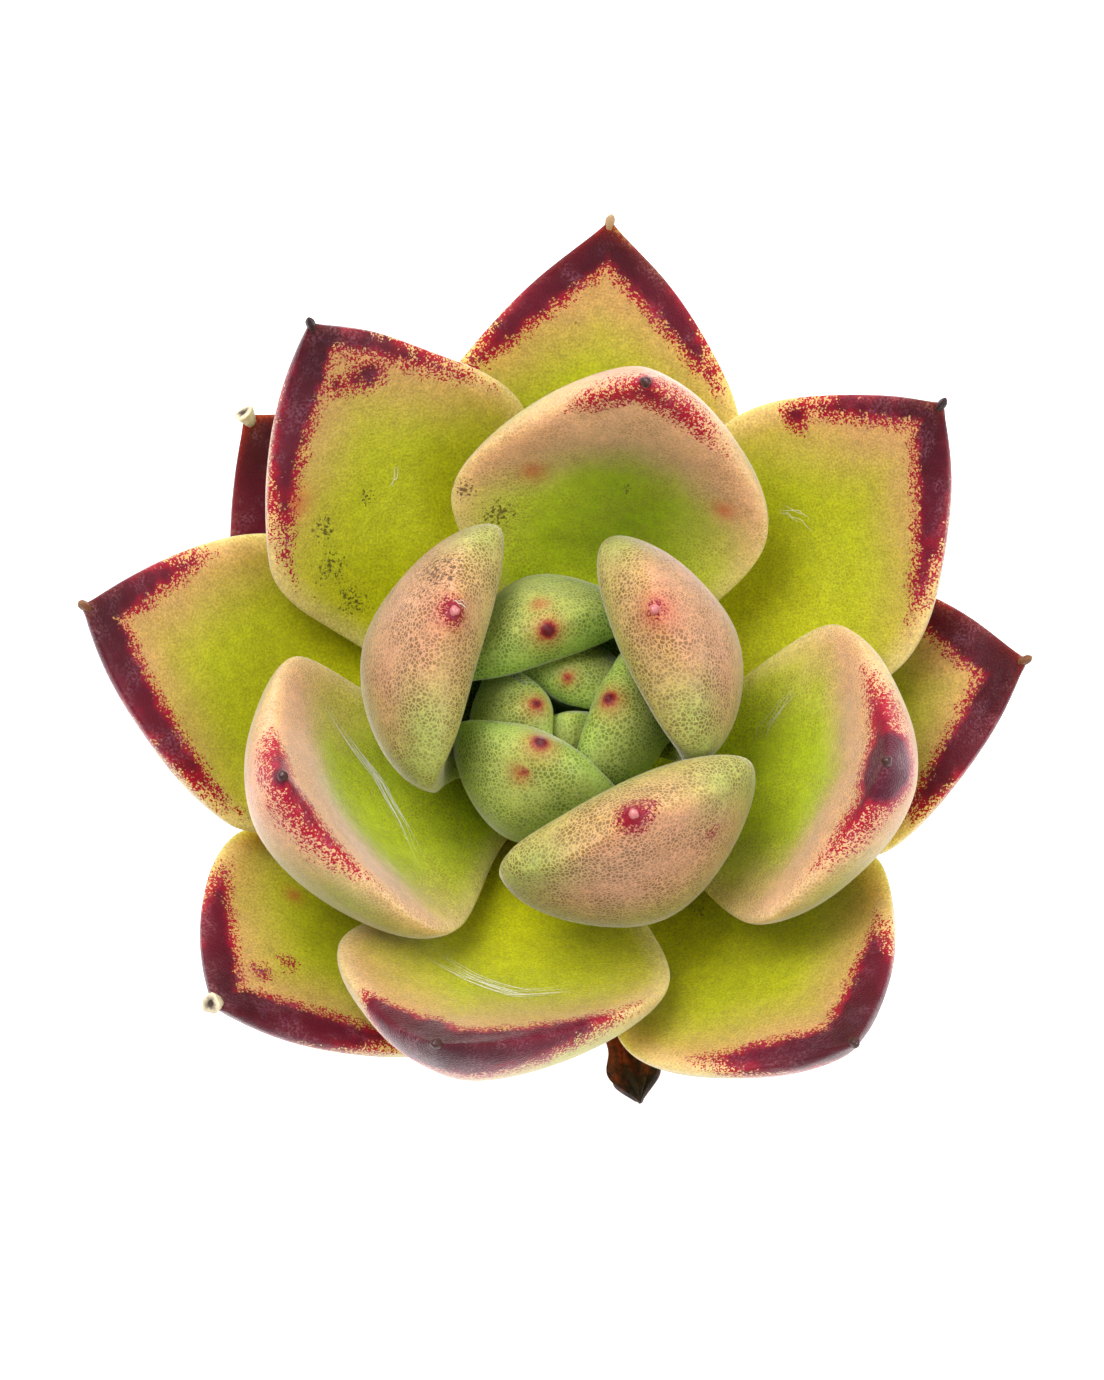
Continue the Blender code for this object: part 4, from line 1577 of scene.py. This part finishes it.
@dataclass
class Studio:
    """A pale floor, soft lights and the camera."""

    elevation: float = 73.0
    distance: float = 600.0
    lens: float = 162.0
    aim_right: float = -1.546
    aim_up: float = 1.449
    sensor: float = 36.0
    floor_radius: float = 1600.0
    light_side: float = 420.0
    room_light: float = 0.35
    floor_glow: float = 0.62

    def build(self, middle: np.ndarray) -> None:
        """Sets up the floor, the lights and the camera.

        Args:
            middle: The middle of the rosette's heart, in millimetres.
        """
        self.lay_floor()
        self.place_camera(middle)
        self.light("key_light", (-260, 180, 640), middle, 5.2)
        self.light("fill_light", (420, -160, 420), middle, 2.0)
        self.light("back_light", (60, 620, 260), middle, 1.5)
        world = bpy.data.worlds.new("soft_room")
        world.use_nodes = True
        sky = world.node_tree.nodes["Background"]
        sky.inputs["Color"].default_value = (1.0, 1.0, 1.0, 1.0)
        sky.inputs["Strength"].default_value = self.room_light
        scene = bpy.context.scene
        scene.world = world
        scene.view_settings.view_transform = "Standard"
        scene.view_settings.look = "None"

    def lay_floor(self) -> None:
        """Lays a wide, slightly dished floor."""
        sides, rings = 96, 14
        turn = ring_angles(sides)
        away = np.linspace(0.0, 1.0, rings + 1)[1:] ** 1.6
        points = [(0.0, 0.0, -0.05)]
        for share in away:
            rise = 60.0 * max(0.0, share - 0.4) ** 2 - 0.05
            radius = share * self.floor_radius
            points += [(radius * math.cos(angle), radius * math.sin(angle), rise) for angle in turn]
        faces: list[tuple[int, ...]] = [(0, 1 + side, 1 + (side + 1) % sides) for side in range(sides)]
        for ring in range(rings - 1):
            low, high = 1 + ring * sides, 1 + (ring + 1) * sides
            for side in range(sides):
                ahead = (side + 1) % sides
                faces.append((low + side, high + side, high + ahead, low + ahead))
        floor = add_mesh("floor", np.array(points), faces)
        graph = Graph("pale_floor")
        grain = graph.noise(2.0, 3.0)
        color = graph.blend(graph.ramp(grain, 0.3, 0.7), paint(246, 246, 246), paint(250, 250, 250))
        graph.set(Emission_Color=(1.0, 1.0, 1.0, 1.0), Emission_Strength=self.floor_glow)
        graph.set(Specular_IOR_Level=0.1)
        floor.data.materials.append(graph.finish(color, 0.9, graph.bump(grain, 0.02, 0.2)))

    def place_camera(self, middle: np.ndarray) -> None:
        """Stands the camera in front of the plant and above it.

        Args:
            middle: The middle of the rosette's heart, in millimetres.
        """
        angle = math.radians(self.elevation)
        forward = np.array([0.0, math.cos(angle), -math.sin(angle)])
        right = np.array([1.0, 0.0, 0.0])
        up = np.cross(right, forward)
        at = middle + self.aim_right * right + self.aim_up * up - self.distance * forward
        data = bpy.data.cameras.new("camera")
        data.lens = self.lens
        data.sensor_width = self.sensor
        data.clip_start = 0.01
        data.clip_end = 20.0
        camera = bpy.data.objects.new("camera", data)
        turned = Matrix(np.column_stack([right, up, -forward]).tolist()).to_4x4()
        camera.matrix_world = Matrix.Translation(Vector(at * METRE)) @ turned
        bpy.context.scene.collection.objects.link(camera)
        bpy.context.scene.camera = camera

    def light(self, name: str, place: tuple[float, float, float], middle: np.ndarray, power: float) -> None:
        """Adds one square soft light that faces the plant.

        Args:
            name: The light's name.
            place: Its place from the middle of the heart, in millimetres.
            middle: The middle of the heart, in millimetres.
            power: Its power, in watts.
        """
        data = bpy.data.lights.new(name, "AREA")
        data.size = self.light_side * METRE
        data.energy = power
        lamp = bpy.data.objects.new(name, data)
        lamp.location = Vector(middle * METRE) + Vector(place) * METRE
        lamp.rotation_euler = (-Vector(place)).to_track_quat("-Z", "Y").to_euler()
        bpy.context.scene.collection.objects.link(lamp)


SCUFFS = (
    Scuff(10, ((0.56, 138.0), (0.5, 118.0), (0.448, 101.0), (0.44, 80.0), (0.468, 60.0)), 14, 0.012, 0.032),
    Scuff(13, ((0.55, 118.0), (0.6, 100.0), (0.63, 82.0), (0.6, 62.0)), 12, 0.013, 0.032),
    Scuff(11, ((0.5, 50.0), (0.45, 56.0), (0.41, 66.0), (0.4, 78.0)), 5, 0.012, 0.025),
    Scuff(14, ((0.6, 84.0), (0.59, 75.0), (0.56, 68.0)), 5, 0.012, 0.025),
    Scuff(7, ((0.985, 214.0), (0.98, 170.0), (0.972, 130.0), (0.965, 112.0)), 3, 0.002, 0.09),
    Scuff(12, ((0.62, 96.0), (0.58, 88.0)), 2, 0.012, 0.04),
)
OUTER_SKIN = LeafSkin(
    name="outer_leaf_skin",
    # The root is the base's own yellow-green, brightened as painted glow of light through the leaf.
    root=paint(206, 206, 8),
    middle=paint(182, 186, 26),
    margin=paint(206, 162, 106),
    # The rim is the pale margin, made paler as painted rim light.
    rim=paint(242, 206, 182),
    back_tip=paint(226, 178, 160),
    back_root=paint(190, 188, 92),
    dot=paint(150, 122, 40),
    dot_share=0.3,
    rim_width=3.2,
    crimson=paint(160, 12, 46),
)
MIDDLE_SKIN = LeafSkin(
    name="middle_leaf_skin",
    # The root and middle are the leaves' own greens, brightened as painted light on inner faces that lie in
    # shade.
    root=paint(202, 218, 26),
    middle=paint(184, 202, 36),
    margin=paint(226, 180, 136),
    # The rim is the pale margin, made paler as painted rim light.
    rim=paint(242, 196, 170),
    back_tip=paint(222, 166, 132),
    back_root=paint(176, 184, 74),
    dot=paint(132, 98, 48),
    dot_share=0.42,
    rim_width=3.2,
    tan_width=10.0,
    pit=0.9,
    tear=0.8,
    scatter=1.0,
    core_low=0.5,
    core_high=1.9,
    tip_share=0.3,
    crimson=paint(168, 16, 50),
    purple=paint(96, 20, 48),
)
BUD_SKIN = LeafSkin(
    name="bud_leaf_skin",
    root=paint(150, 186, 30),
    middle=paint(150, 176, 60),
    margin=paint(210, 174, 120),
    rim=paint(164, 186, 98),
    back_tip=paint(212, 162, 126),
    back_root=paint(146, 168, 62),
    dot=paint(108, 80, 38),
    dot_share=0.75,
    tan_width=4.0,
    green_width=14.0,
    rim_share=0.75,
    rim_width=5.5,
    rim_from=4.5,
    back_low=9.0,
    back_high=20.0,
    pore=0.4,
    pit=0.92,
    tear=0.7,
    scatter=0.8,
    core_low=1.4,
    core_high=3.0,
    tip_share=0.0,
    crimson=paint(138, 10, 38),
    purple=paint(120, 26, 54),
    blush=paint(196, 88, 84),
)
HEART_SKIN = LeafSkin(
    name="heart_leaf_skin",
    root=paint(140, 182, 50),
    middle=paint(150, 184, 74),
    margin=paint(176, 192, 98),
    rim=paint(172, 194, 104),
    back_tip=paint(184, 190, 104),
    back_root=paint(146, 184, 80),
    dot=paint(76, 104, 30),
    dot_share=0.7,
    tan_width=1.0,
    green_width=6.0,
    pore=0.4,
    pit=0.95,
    tear=0.12,
    scatter=0.1,
    soft=0.45,
    core_low=0.0,
    core_high=0.7,
    tip_share=0.3,
    crimson=paint(150, 30, 40),
    purple=paint(92, 14, 28),
    blush=paint(176, 72, 50),
)
POINT_FINISHES = {
    PointKind.PALE: DriedPoint("pale_point", paint(236, 196, 186), paint(204, 120, 120), 0.35),
    PointKind.NUB: DriedPoint("nub_point", paint(150, 112, 104), paint(66, 30, 30), 0.4),
    PointKind.DARK: DriedPoint("dark_point", paint(70, 42, 34), paint(46, 20, 24), 0.45),
    PointKind.GOLD: DriedPoint("gold_point", paint(206, 158, 84), paint(120, 70, 38), 0.5),
    PointKind.CREAM: DriedPoint("cream_point", paint(236, 222, 190), paint(176, 140, 100), 0.6),
    PointKind.SCAR: DriedPoint("scar_point", paint(232, 216, 182), paint(70, 52, 40), 0.7),
}


def main() -> None:
    """Builds the plant, its pot and the studio."""
    logging.basicConfig(level=logging.INFO, format="%(name)s: %(message)s")
    rosette = Rosette()
    rosette.grow()
    rosette.dress()
    rosette.lay_scuffs()
    Stem().dress()
    PottingMix().dress()
    Pot().build()
    Studio().build(rosette.middle)


if __name__ == "__main__":
    main()
